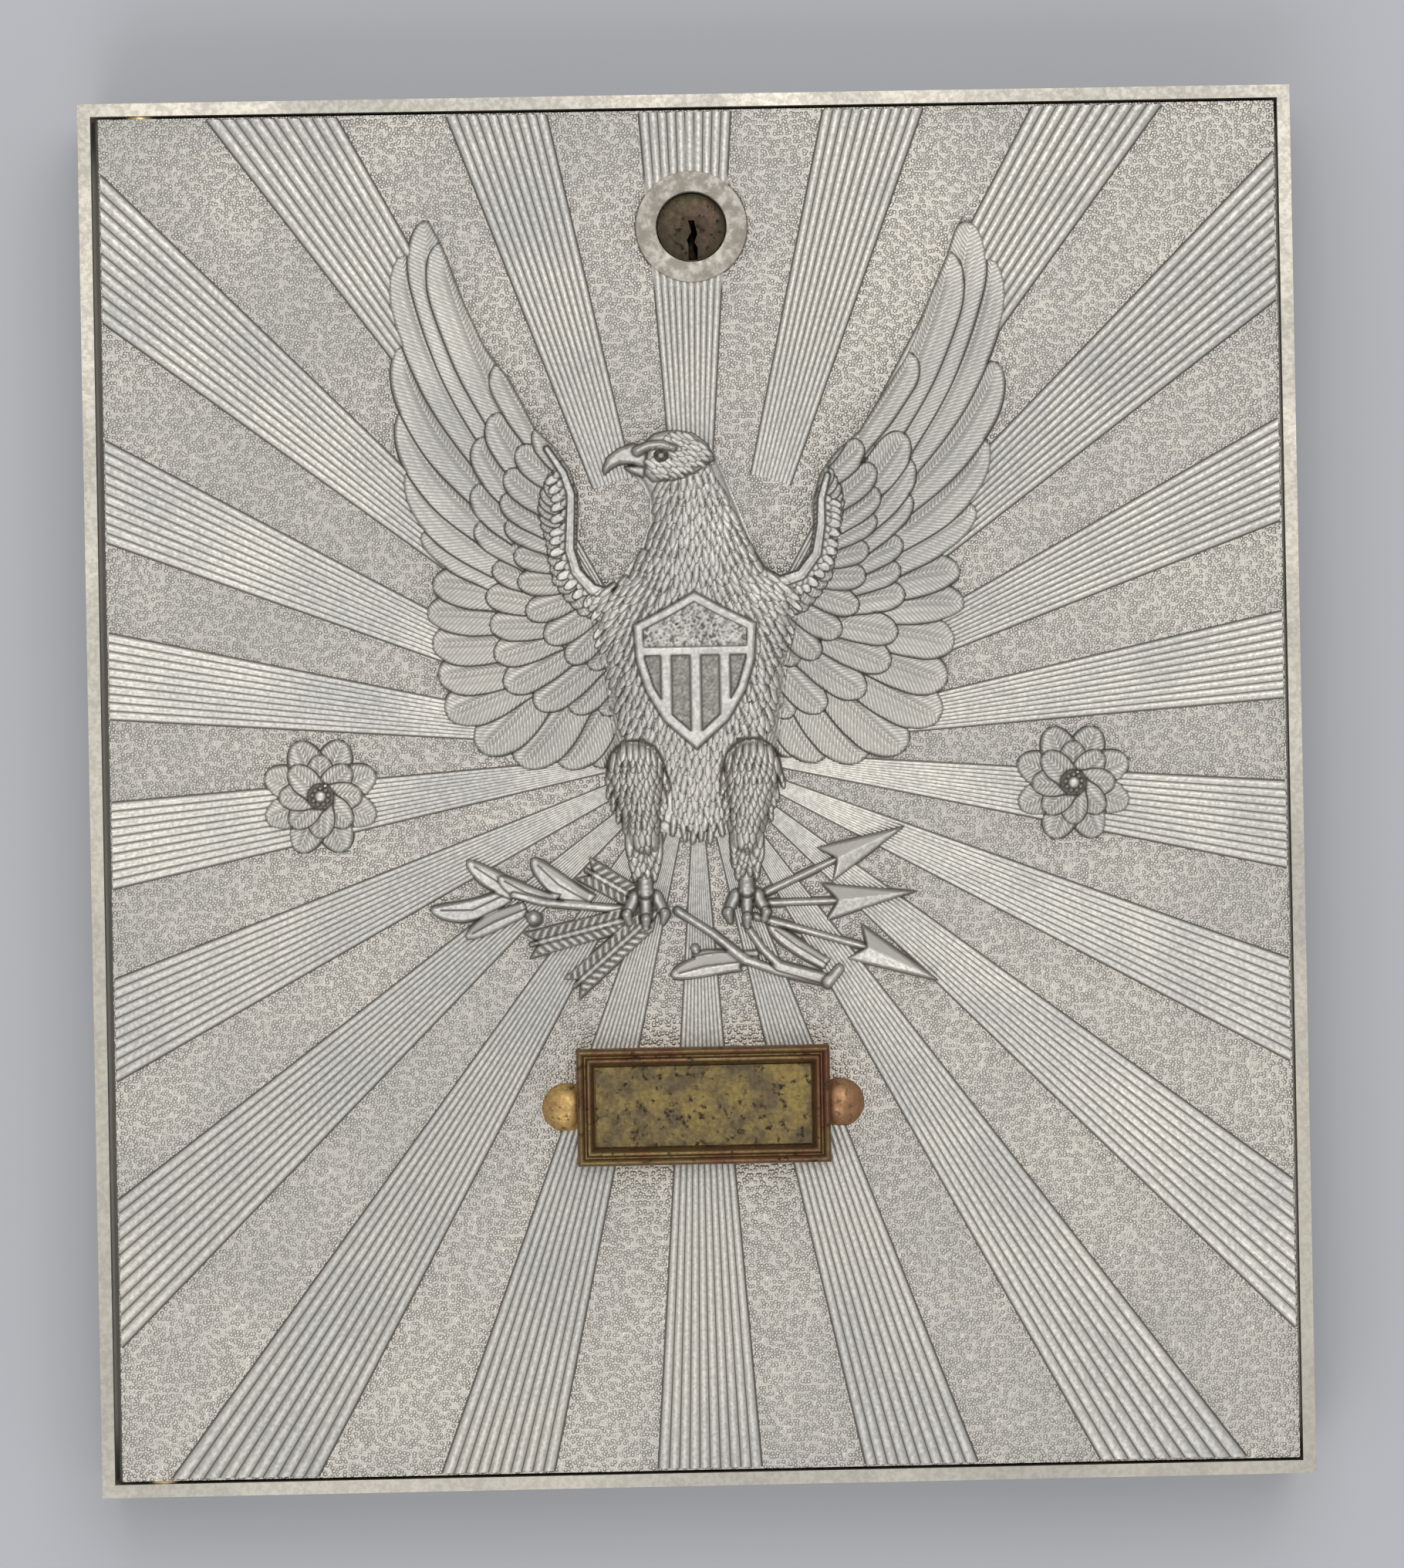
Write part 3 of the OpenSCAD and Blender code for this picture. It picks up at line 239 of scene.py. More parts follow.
@dataclass(frozen=True)
class Finish:
    """One metal finish: its two tones, the colour of its dirt and painted shade, its gloss and its skin.

    The patches and the grain are lengths in metres, the relief is in millimetres, and the dots, blots
    and lines of the worked skins are counts per metre. The drift is the change of tone per metre.
    """

    name: str
    tone: tuple[float, float, float]
    second_tone: tuple[float, float, float]
    dirt_and_shade: tuple[float, float, float]
    surface: Surface
    metallic: float = 0.85
    roughness: float = 0.45
    patch: float = 0.018
    grain: float = 0.0009
    relief: float = 0.05
    dirt_share: float = 0.35
    drift: float = 0.0
    dots: float = 1350.0
    dot_height: float = 2.6
    wear: float = 420.0
    blots: float = 700.0
    lines: float = 260.0
    groove_dirt_and_shade: float = 0.92
    barb_dirt_and_shade: float = 0.46
    barb_height: float = 0.55

    def build(self) -> bpy.types.Material:
        """Makes the material.

        Returns:
            The material, with its pattern on object coordinates.
        """
        material = bpy.data.materials.new(self.name)
        material.use_nodes = True
        material.node_tree.nodes.clear()
        graph = Graph(material.node_tree)
        place = graph.node("ShaderNodeTexCoord").outputs["Object"]
        patches = graph.noise(place, 1.0 / self.patch, 4.0, 0.6)
        grain = graph.noise(place, 1.0 / self.grain, 3.0, 0.65)
        across = graph.node("ShaderNodeSeparateXYZ", {0: place}).outputs["X"]
        drifted = graph.plus(patches, graph.times(across, self.drift))
        colour = graph.blend(graph.ramp(drifted, 0.36, 0.64), self.tone, self.second_tone)
        dirt_and_shade, height = self._skin(graph, place, grain)
        speckle = graph.times(graph.ramp(grain, 0.62, 0.38), self.dirt_share)
        dirt_and_shade = graph.larger(dirt_and_shade, speckle, clamp=True)
        # Dirt and painted shade pull the colour towards the dark dirt colour.
        colour = graph.blend(dirt_and_shade, colour, self.dirt_and_shade)
        rough = graph.plus(graph.ramp(patches, 0.3, 0.7, -0.05, 0.06), self.roughness)
        rough = graph.plus(rough, graph.times(dirt_and_shade, 0.22), clamp=True)
        depth = {"Strength": 1.0, "Distance": self.relief * MM, "Height": height}
        bump = graph.node("ShaderNodeBump", depth).outputs["Normal"]
        skin = {"Base Color": colour, "Roughness": rough, "Metallic": self.metallic, "Normal": bump}
        shader = graph.out("ShaderNodeBsdfPrincipled", skin)
        graph.link(shader, graph.node("ShaderNodeOutputMaterial").inputs["Surface"])
        return material

    def _skin(self, graph: Graph, place: Any, grain: Any) -> tuple[Any, Any]:
        """Adds the skin's own pattern.

        Args:
            graph: Where the nodes go.
            place: Object coordinates.
            grain: Fine noise.

        Returns:
            Share of dirt and painted shade, and height of the skin, both from 0 to 1.
        """
        if self.surface is Surface.STIPPLED:
            return self._stipple(graph, place, grain)
        if self.surface is Surface.CARVED:
            return self._carved(graph, grain)
        if self.surface is Surface.CORRODED:
            blots = graph.noise(place, self.blots, 5.0, 0.7)
            return graph.ramp(blots, 0.52, 0.66), graph.times(graph.plus(blots, grain), 0.5)
        if self.surface is Surface.MACHINED:
            turned = {"Vector": place, "Scale": self.lines, "Distortion": 2.0, "Detail": 2.0}
            lines = graph.node("ShaderNodeTexWave", turned, bands_direction="Z").outputs["Fac"]
            return 0.0, graph.plus(graph.times(lines, 0.3), grain)
        return 0.0, grain

    def _stipple(self, graph: Graph, place: Any, grain: Any) -> tuple[Any, Any]:
        """Adds the punched ground of the leaf's face; the ring round the lock and the back stay smooth.

        Args:
            graph: Where the nodes go.
            place: Object coordinates.
            grain: Fine noise.

        Returns:
            Share of dirt and painted shade, and height of the skin.
        """
        split = graph.node("ShaderNodeSeparateXYZ", {0: place})
        across = graph.minus(split.outputs["X"], LOCK_X * MM)
        up = graph.minus(split.outputs["Z"], MIDDLE_Z + LOCK_Z * MM)
        squares = graph.plus(graph.math("POWER", across, 2.0), graph.math("POWER", up, 2.0))
        away = graph.math("SQRT", squares)
        outside = graph.ramp(away, RING_R * MM, (RING_R + 0.25) * MM)
        front = graph.ramp(split.outputs["Y"], GROUND_Y + 0.4 * MM, GROUND_Y + 0.1 * MM)
        mask = graph.times(outside, front)
        scatter = {"Vector": place, "Scale": self.dots, "Randomness": 0.75}
        cells = graph.node("ShaderNodeTexVoronoi", scatter, feature="F1").outputs["Distance"]
        dots = graph.ramp(cells, 0.12, 0.62, 1.0, 0.0)
        punched = graph.times(graph.times(dots, mask), self.dot_height)
        height = graph.plus(punched, graph.times(grain, 0.5))
        worn = graph.noise(place, self.wear, 5.0, 0.7)
        ring = graph.times(graph.minus(1.0, outside), front)
        ring = graph.times(ring, graph.ramp(worn, 0.36, 0.60, 0.42, 0.85))
        # Dirt and painted shade lie in the low places between the punched dots.
        pits = graph.times(graph.ramp(cells, 0.42, 0.72), mask)
        seam = graph.math("ABSOLUTE", graph.minus(away, (RING_R + 0.08) * MM))
        line = graph.times(graph.ramp(seam, 0.30 * MM, 0.05 * MM), front)
        dirt_and_shade = graph.larger(graph.times(pits, 0.45), graph.times(line, 0.9))
        return graph.larger(dirt_and_shade, ring), height

    def _carved(self, graph: Graph, grain: Any) -> tuple[Any, Any]:
        """Adds the skin of the relief: dirt and painted shade lie in the grooves and between the barbs, and
        the feathers carry fine barbs.

        Args:
            graph: Where the nodes go.
            grain: Fine noise.

        Returns:
            Share of dirt and painted shade, and height of the skin.
        """
        groove = graph.node("ShaderNodeAttribute", attribute_name="groove").outputs["Fac"]
        barb = graph.node("ShaderNodeAttribute", attribute_name="barb").outputs["Fac"]
        lines = graph.math("SINE", barb)
        dirt_and_shade = graph.times(graph.ramp(groove, 0.05, 0.95), self.groove_dirt_and_shade)
        barbed = graph.times(graph.ramp(lines, 0.6, -0.9), self.barb_dirt_and_shade)
        feathered = graph.math("LESS_THAN", 1e-6, graph.math("ABSOLUTE", barb))
        dirt_and_shade = graph.larger(dirt_and_shade, graph.times(barbed, feathered))
        return dirt_and_shade, graph.plus(graph.times(lines, self.barb_height), grain)


class Finishes:
    """Every metal of the door, each built once."""

    LIST = (
        Finish("stippled_leaf", (0.61, 0.575, 0.51), (0.54, 0.515, 0.47), (0.20, 0.175, 0.14),
               Surface.STIPPLED, patch=0.05, grain=0.0004, relief=0.12, roughness=0.42, dirt_share=0.03),
        Finish("carved_relief", (0.55, 0.525, 0.47), (0.48, 0.47, 0.44), (0.085, 0.072, 0.058),
               Surface.CARVED, patch=0.03, grain=0.0007, relief=0.07, roughness=0.46, dirt_share=0.28),
        Finish("frame_casting", (0.45, 0.42, 0.36), (0.35, 0.33, 0.29), (0.17, 0.145, 0.11),
               Surface.SMOOTH, patch=0.04, relief=0.03, roughness=0.40, dirt_share=0.28),
        Finish("golden_brass", (0.46, 0.30, 0.11), (0.30, 0.16, 0.08), (0.12, 0.07, 0.035),
               Surface.CORRODED, patch=0.02, relief=0.04, roughness=0.40, drift=8.0),
        Finish("dark_moulding", (0.19, 0.135, 0.055), (0.15, 0.065, 0.035), (0.045, 0.028, 0.016),
               Surface.CORRODED, patch=0.012, relief=0.09, roughness=0.42),
        Finish("olive_panel", (0.20, 0.145, 0.05), (0.105, 0.08, 0.045), (0.03, 0.022, 0.014),
               Surface.CORRODED, patch=0.005, relief=0.12, roughness=0.46),
        Finish("tarnished_plug", (0.062, 0.04, 0.027), (0.06, 0.05, 0.026), (0.014, 0.01, 0.008),
               Surface.CORRODED, patch=0.004, relief=0.05, roughness=0.38),
        Finish("machined_brass", (0.60, 0.44, 0.19), (0.50, 0.37, 0.17), (0.22, 0.15, 0.07),
               Surface.MACHINED, patch=0.012, relief=0.008, roughness=0.3, dirt_share=0.15),
        Finish("case_casting", (0.47, 0.42, 0.33), (0.39, 0.35, 0.28), (0.18, 0.15, 0.11),
               Surface.SMOOTH, patch=0.012, relief=0.05, roughness=0.5, dirt_share=0.4),
        Finish("plain_steel", (0.50, 0.49, 0.47), (0.42, 0.41, 0.39), (0.2, 0.17, 0.14),
               Surface.MACHINED, patch=0.006, relief=0.005, roughness=0.32, dirt_share=0.15),
    )

    def __init__(self) -> None:
        """Builds the materials."""
        self.made = {finish.name: finish.build() for finish in self.LIST}

    def __getitem__(self, name: str) -> bpy.types.Material:
        """The material of that name."""
        return self.made[name]


# ---------------------------------------------------------------- meshes


def new_object(
    name: str, mesh: bpy.types.Mesh, material: bpy.types.Material | None = None
) -> bpy.types.Object:
    """Puts a mesh into the scene at the origin.

    Args:
        name: Name of the piece.
        mesh: Its mesh, in place.
        material: Its finish, or None where the mesh has one.

    Returns:
        The object.
    """
    made = bpy.data.objects.new(name, mesh)
    bpy.context.scene.collection.objects.link(made)
    if material is not None:
        mesh.materials.clear()
        mesh.materials.append(material)
    return made


def bake(piece: bpy.types.Object) -> None:
    """Turns a piece's modifiers into a plain mesh.

    Args:
        piece: The object, with its modifiers.
    """
    graph = bpy.context.evaluated_depsgraph_get()
    baked = bpy.data.meshes.new_from_object(piece.evaluated_get(graph))
    piece.modifiers.clear()
    piece.data = baked
    baked.name = piece.name


def finish_mesh(piece: bpy.types.Object, angle: float = 35.0) -> bpy.types.Object:
    """Applies a piece's modifiers and shades it smooth up to an angle.

    Args:
        piece: The object, with its modifiers.
        angle: Edges sharper than this stay sharp, in degrees.

    Returns:
        The same object with a plain mesh.
    """
    if piece.modifiers:
        bake(piece)
    piece.data.shade_smooth()
    piece.data.set_sharp_from_angle(angle=math.radians(angle))
    return piece


@dataclass
class CastingCopy:
    """A CAD part with its edges broken, as a file or a tumbler leaves them.

    The edge is the width of the rounding in millimetres. Faces above the flat area, in square metres,
    are shaded flat, so that the shading of the rounding doesn't run across them.
    """

    node: str
    name: str
    body: str
    slot: str
    finish: str
    edge: float = 0.15
    steps: int = 2
    flat_area: float = 3e-4
    weld: float = 2e-6
    same_plane: float = 0.6
    sharp_from: float = 38.0

    def build(self, frame: dict[str, Any], finishes: Finishes) -> bpy.types.Object:
        """Copies the CAD part, welds it, rounds its edges and hides the original.

        Args:
            finishes: The materials.

        Returns:
            The piece.
        """
        mesh = frame["nodes"][self.node].data.copy()
        mesh.name = self.name
        form = bmesh.new()
        form.from_mesh(mesh)
        bmesh.ops.remove_doubles(form, verts=form.verts, dist=self.weld)
        flat = math.radians(self.same_plane)
        bmesh.ops.dissolve_limit(form, angle_limit=flat, verts=form.verts, edges=form.edges)
        form.to_mesh(mesh)
        form.free()
        piece = new_object(self.name, mesh, finishes[self.finish])
        bevel = piece.modifiers.new("edges", "BEVEL")
        bevel.width = self.edge * MM
        bevel.segments = self.steps
        bevel.limit_method = "ANGLE"
        bevel.angle_limit = math.radians(self.sharp_from)
        bevel.use_clamp_overlap = True
        finish_mesh(piece)
        for face in piece.data.polygons:
            face.use_smooth = face.area < self.flat_area
        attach(piece, self.body)
        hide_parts(self.node)
        return piece


def named_inputs(tree: bpy.types.NodeTree, kinds: dict[str, str]) -> dict[str, str]:
    """Gives a Geometry Nodes tree its geometry sockets and its named inputs.

    Args:
        tree: The tree.
        kinds: Socket type of each named input.

    Returns:
        The identifier of each named input.
    """
    face = tree.interface
    face.new_socket("Geometry", in_out="OUTPUT", socket_type="NodeSocketGeometry")
    face.new_socket("Geometry", in_out="INPUT", socket_type="NodeSocketGeometry")
    return {name: face.new_socket(name, in_out="INPUT", socket_type=kind).identifier
            for name, kind in kinds.items()}


@dataclass
class SlottedScrews:
    """A set of equal cheese-head screws, made by Geometry Nodes at the places of the CAD part's own.

    The slot's width and length are multiples of the head's radius; the head's height and the reach that
    parts one screw from the next are in millimetres.
    """

    node: str
    name: str
    head_height: float = 1.2
    slot_width: float = 0.32
    slot_length: float = 2.4
    head_sides: int = 48
    shank_sides: int = 32
    reach: float = 8.0
    seed: int = 5

    def build(self, frame: dict[str, Any], finishes: Finishes) -> bpy.types.Object:
        """Makes the screws and hides the CAD part.

        Args:
            finishes: The materials.

        Returns:
            The piece.
        """
        places, sizes = self._measure(frame["nodes"][self.node].data)
        mesh = bpy.data.meshes.new(self.name)
        mesh.from_pydata(places, [], [])
        piece = new_object(self.name, mesh)
        tree, sockets = self._tree(finishes["machined_brass"], sizes)
        modifier = piece.modifiers.new("screws", "NODES")
        modifier.node_group = tree
        for name, value in sizes.items():
            modifier[sockets[name]] = value
        finish_mesh(piece, 40.0)
        bpy.data.node_groups.remove(tree)
        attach(piece, "door")
        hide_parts(self.node)
        return piece

    def _measure(self, mesh: bpy.types.Mesh) -> tuple[list[tuple[float, float, float]], dict[str, float]]:
        """Reads the screws' places and sizes off the CAD part.

        Args:
            mesh: The CAD part's mesh, with every screw's axis along Y and its head at the rear.

        Returns:
            The middle of each head's underside, and the sizes of one screw in metres.
        """
        spots = np.array([tuple(vertex.co) for vertex in mesh.vertices])
        rear, tip = spots[:, 1].max(), spots[:, 1].min()
        seat = rear - self.head_height * MM
        places = []
        left = spots
        while len(left):
            near = np.hypot(left[:, 0] - left[0, 0], left[:, 2] - left[0, 2]) < self.reach * MM
            middle = (left[near].min(0) + left[near].max(0)) / 2
            places.append((float(middle[0]), float(seat), float(middle[2])))
            left = left[~near]
        first = np.hypot(spots[:, 0] - places[0][0], spots[:, 2] - places[0][2])
        own = first < self.reach * MM
        head = first[own].max()
        shank = first[own & (spots[:, 1] < tip + 0.1 * MM)].max()
        return places, {"Head radius": float(head), "Head height": self.head_height * MM,
                        "Shank radius": float(shank), "Shank length": float(seat - tip)}

    def _tree(
        self, material: bpy.types.Material, sizes: dict[str, float]
    ) -> tuple[bpy.types.NodeTree, dict[str, str]]:
        """Builds the tree of one set of screws.

        Args:
            material: Finish of the screws.
            sizes: The named sizes.

        Returns:
            The tree, and the identifier of each named input.
        """
        tree = bpy.data.node_groups.new("slotted_screws", "GeometryNodeTree")
        sockets = named_inputs(tree, {name: "NodeSocketFloat" for name in sizes})
        graph = Graph(tree)
        given = graph.node("NodeGroupInput").outputs
        half_head = graph.over(given["Head height"], 2.0)
        head = graph.out("GeometryNodeMeshCylinder", {
            "Vertices": self.head_sides, "Radius": given["Head radius"], "Depth": given["Head height"]})
        long = graph.times(given["Head radius"], self.slot_length)
        wide = graph.times(given["Head radius"], self.slot_width)
        size = graph.out("ShaderNodeCombineXYZ", {"X": long, "Y": wide, "Z": given["Head height"]})
        blade = graph.out("GeometryNodeMeshCube", {"Size": size})
        slotted = graph.node("GeometryNodeMeshBoolean", operation="DIFFERENCE", solver="EXACT")
        lifted = self._moved(graph, blade, half_head)
        graph.link(head, slotted.inputs[0])
        graph.link(lifted, slotted.inputs[1])
        raised = self._moved(graph, slotted.outputs[0], half_head)
        shank = graph.out("GeometryNodeMeshCylinder", {
            "Vertices": self.shank_sides, "Radius": given["Shank radius"], "Depth": given["Shank length"]})
        lowered = self._moved(graph, shank, graph.over(given["Shank length"], -2.0))
        screw = graph.node("GeometryNodeMeshBoolean", operation="UNION", solver="EXACT")
        graph.link(raised, screw.inputs[1])
        graph.link(lowered, screw.inputs[1])
        turn = graph.node("FunctionNodeRandomValue", {"Min": 0.0, "Max": math.pi, "Seed": self.seed},
                          data_type="FLOAT").outputs[1]
        turned = graph.out("ShaderNodeCombineXYZ", {"X": -math.pi / 2, "Y": turn})
        copies = graph.out("GeometryNodeInstanceOnPoints", {
            "Points": given["Geometry"], "Instance": screw.outputs[0], "Rotation": turned})
        real = graph.out("GeometryNodeRealizeInstances", {0: copies})
        dressed = graph.out("GeometryNodeSetMaterial", {"Geometry": real, "Material": material})
        graph.link(dressed, graph.node("NodeGroupOutput").inputs[0])
        return tree, sockets

    @staticmethod
    def _moved(graph: Graph, geometry: Socket, along: Socket) -> Socket:
        """Moves part of a screw along its axis."""
        offset = graph.out("ShaderNodeCombineXYZ", {"Z": along})
        return graph.out("GeometryNodeTransform", {"Geometry": geometry, "Translation": offset})


# ---------------------------------------------------------------- relief


@dataclass
class ReliefField:
    """Cast relief as heights above the leaf's ground, on a square grid over part of the face.

    Sizes are in millimetres off the door's middle. A height below zero lies inside the leaf, and what
    lies below the hidden level gets no mesh. The skin is the thin edge that a shape leaves on the ground.
    """

    left: float
    right: float
    foot: float
    top: float
    pitch: float = 0.2
    sunk: float = 0.5
    hidden: float = -0.3
    skin: float = 0.035
    let_in: float = 0.8
    x: Array = field(init=False)
    z: Array = field(init=False)
    height: Array = field(init=False)
    form: Array = field(init=False)
    # Share of dirt and painted shade at each place.
    groove: Array = field(init=False)
    barb: Array = field(init=False)

    def __post_init__(self) -> None:
        """Lays out the empty grid."""
        across = np.arange(self.left, self.right + self.pitch / 2, self.pitch)
        up = np.arange(self.foot, self.top + self.pitch / 2, self.pitch)
        self.x, self.z = np.meshgrid(across, up)
        self.height = np.full(self.x.shape, -self.sunk)
        self.form = np.zeros(self.x.shape)
        self.groove = np.zeros(self.x.shape)
        self.barb = np.zeros(self.x.shape)

    def window(self, points: Iterable[Point], reach: float) -> Window:
        """The part of the grid round some points.

        Args:
            points: Places on the face.
            reach: How far round them.

        Returns:
            Row and column slices.
        """
        spots = np.array(list(points))
        low = (spots.min(0) - reach - (self.left, self.foot)) / self.pitch
        high = (spots.max(0) + reach - (self.left, self.foot)) / self.pitch
        return (
            slice(max(0, int(low[1])), max(0, int(high[1]) + 2)),
            slice(max(0, int(low[0])), max(0, int(high[0]) + 2)),
        )

    def lay(self, win: Window, inside: Array, height: Array, edge: float = 0.4, halo: float = 0.4,
            cut: float = 0.2, barb: Array | float = 0.0, shade: Array | float = 0.0) -> None:
        """Lays a shape over what is there, with a groove round it.

        Args:
            win: Part of the grid.
            inside: Distance inside the shape's outline, below zero outside it.
            height: Height of the shape.
            edge: Width of its rounded edge.
            halo: Width of the groove round it.
            cut: Depth of the groove.
            barb: Phase of the fine lines on it.
            shade: Share of dirt and painted shade that lies on the shape itself.
        """
        under, old_groove = self.height[win], self.groove[win]
        near = np.clip(1.0 + inside / halo, 0.0, 1.0)
        share = smooth(0.0, edge, inside)
        on_ground = np.where(near > 0, np.maximum(under, self.skin), under)
        foot = np.where(under > 0.06, under - cut * near, on_ground)
        within = inside > 0
        self.height[win] = np.where(within, foot * (1 - share) + height * share, foot)
        # Dirt and painted shade go on the shape's rounded edge and in the groove round it.
        own_groove = np.maximum((1 - share) * 0.9, shade)
        self.groove[win] = np.where(within, own_groove, np.maximum(old_groove, near))
        self.barb[win] = np.where(within, barb, self.barb[win])

    def feather(self, tip: Point, root: Point, half: float, bow: float = 0.0, rise: float = 0.4,
                barbs: bool = True, lean: float = 0.1, nose: float = 1.0, cut: float = 0.2) -> None:
        """Lays one feather that stands highest at its tip.

        Args:
            tip: Its free end.
            root: Where it comes out from under its neighbours.
            half: Half its width.
            bow: How far its middle bends to its left.
            rise: How far its tip stands above the form.
            barbs: Whether it has a shaft and barbs.
            lean: How much one side is higher than the other.
            nose: Length of its round end in half widths.
            cut: Depth of the groove round it.
        """
        start, run = np.array(root), np.subtract(tip, root)
        length = float(np.hypot(*run))
        along = run / length
        win = self.window((tip, root), half + abs(bow) + 1.0)
        dx, dz = self.x[win] - start[0], self.z[win] - start[1]
        s = (dx * along[0] + dz * along[1]) / length
        t = dz * along[0] - dx * along[1] - 4 * bow * s * (1 - s)
        share = min(0.6, nose * half / length)
        width = half * np.sqrt(np.clip(1 - np.clip((s - 1 + share) / share, 0, 1) ** 2, 0, 1))
        width = width * (0.85 + 0.15 * smooth(0.0, 0.45, s))
        inside = np.minimum(width - np.abs(t), np.minimum((1 - s) * length, s * length + 0.2))
        u = np.clip(t / np.maximum(width, 0.05), -1, 1)
        up = rise * (0.3 + 0.7 * np.clip(s, 0, 1)) * (1 - 0.4 * u * u) + lean * u
        phase: Array | float = 0.0
        shade: Array | float = 0.0
        if barbs:
            body = smooth(0.0, 0.15, s) * (1 - smooth(0.82, 0.98, s))
            streak = sum(depth * np.exp(-(((np.abs(t) - off) / wide) ** 2)) for off, wide, depth in STREAKS)
            up = up + body * (SHAFT_RISE * np.exp(-((t / SHAFT_WIDE) ** 2)) - STREAK_CUT * streak)
            phase = (s * length - 0.9 * np.abs(t)) * 2 * math.pi / BARB_PITCH
            # The streaks are painted dark as dirt and shade.
            shade = STREAK_DIRT_AND_SHADE * body * streak
        self.lay(win, inside, self.form[win] + up, min(0.45, half * 0.5), halo=min(0.4, 2 * cut), cut=cut,
                 barb=phase, shade=shade)

    def polygon_distance(self, win: Window, outline: Sequence[Point]) -> Array:
        """Distance inside a closed outline, below zero outside it.

        Args:
            win: Part of the grid.
            outline: Its corners in order.

        Returns:
            The distance for each place.
        """
        px, pz = self.x[win], self.z[win]
        best = np.full(px.shape, 1e9)
        within = np.zeros(px.shape, bool)
        for (ax, az), (bx, bz) in zip(outline, [*outline[1:], outline[0]]):
            ex, ez = bx - ax, bz - az
            share = np.clip(((px - ax) * ex + (pz - az) * ez) / (ex * ex + ez * ez), 0, 1)
            best = np.minimum(best, np.hypot(px - ax - share * ex, pz - az - share * ez))
            if az != bz:
                within ^= ((az > pz) != (bz > pz)) & (px < (bx - ax) * (pz - az) / (bz - az) + ax)
        return np.where(within, best, -best)

    def path_distance(self, win: Window, path: Sequence[Point]) -> tuple[Array, Array]:
        """Distance from an open path.

        Args:
            win: Part of the grid.
            path: Its points in order.

        Returns:
            The distance, and how far along the path its nearest point is, from 0 to 1.
        """
        px, pz = self.x[win], self.z[win]
        best, where = np.full(px.shape, 1e9), np.zeros(px.shape)
        for i, ((ax, az), (bx, bz)) in enumerate(zip(path[:-1], path[1:])):
            ex, ez = bx - ax, bz - az
            share = np.clip(((px - ax) * ex + (pz - az) * ez) / (ex * ex + ez * ez), 0, 1)
            gap = np.hypot(px - ax - share * ex, pz - az - share * ez)
            where = np.where(gap < best, (i + share) / (len(path) - 1), where)
            best = np.minimum(best, gap)
        return best, where

    def swell(self, outline: Sequence[Point], height: Profile, shoulder: float) -> None:
        """Raises a smooth form under the detail, rounded off towards its outline.

        Args:
            outline: Corners of the form.
            height: Its height for each place.
            shoulder: Width of its rounding.
        """
        win = self.window(outline, 1.0)
        inside = self.polygon_distance(win, outline)
        share = np.clip(inside / shoulder, 0, 1)
        form = height(self.x[win], self.z[win]) * np.sqrt(1 - (1 - share) ** 2)
        taller = (form > self.form[win]) & (inside > 0)
        halo = np.clip(1.0 + inside / 0.4, 0.0, 1.0)
        # A ring of dirt and painted shade goes round the foot of the form.
        self.groove[win] = np.where(taller, 0.0, np.maximum(self.groove[win], halo * (inside <= 0)))
        self.form[win] = np.where(taller, form, self.form[win])
        beside = np.where(halo > 0, np.maximum(self.height[win], self.skin), self.height[win])
        self.height[win] = np.where(taller, form, beside)

    def cord(self, path: Sequence[Point], radius: tuple[float, float], rise: tuple[float, float],
             base: float = 0.0, rings: float = 0.0, cut: float = 0.25) -> None:
        """Lays a half-round roll along a path.

        Args:
            path: Its middle line.
            radius: Its radius at both ends.
            rise: Its height at both ends.
            base: Height of what it lies on.
            rings: Length of one ring along it, or 0 for none.
            cut: Depth of the groove beside it.
        """
        win = self.window(path, max(radius) + 1.0)
        gap, where = self.path_distance(win, path)
        wide = radius[0] + (radius[1] - radius[0]) * where
        tall = rise[0] + (rise[1] - rise[0]) * where
        dome = np.sqrt(np.clip(1 - (gap / (wide * 1.08)) ** 2, 0, 1))
        if rings:
            length = sum(math.dist(a, b) for a, b in zip(path[:-1], path[1:]))
            dome = dome * (1 - 0.16 * np.clip(np.sin(where * length / rings * 2 * math.pi), 0, 1))
        self.lay(win, wide - gap, base + tall * dome, min(radius) * 0.7, cut=cut)

    def plate(self, outline: Sequence[Point], height: float | Profile, edge: float = 0.35) -> None:
        """Lays a flat or sloping plate with a sharp edge.

        Args:
            outline: Its corners.
            height: Its height, or a function of the place.
            edge: Width of its edge.
        """
        win = self.window(outline, 1.0)
        level = height(self.x[win], self.z[win]) if callable(height) else np.full(self.x[win].shape, height)
        self.lay(win, self.polygon_distance(win, outline), level, edge)

    def clear(self, outline: Sequence[Point]) -> None:
        """Takes the relief away down to the leaf's ground, and leaves a fine line along the cut, painted dark
        as dirt and shade.

        Args:
            outline: Corners of the cleared part.
        """
        win = self.window(outline, 1.0)
        inside = self.polygon_distance(win, outline)
        line = 0.45
        rim = np.clip(1.0 - inside / line, 0.0, 1.0)
        beside = (inside > 0) & (inside < line) & (self.height[win] > self.hidden)
        cleared = np.where(inside > 0, -self.sunk, self.height[win])
        self.height[win] = np.where(beside, self.skin, cleared)
        self.groove[win] = np.where(inside > 0, rim, self.groove[win])

    def soften(self) -> None:
        """Rounds off steps that a casting can't hold."""
        before = self.height
        around = sum(np.roll(before, shift, axis) for shift in (-1, 1) for axis in (0, 1)) / 4
        softer = 0.6 * before + 0.4 * np.maximum(around, self.hidden)
        self.height = np.where(before < self.hidden, before, softer)

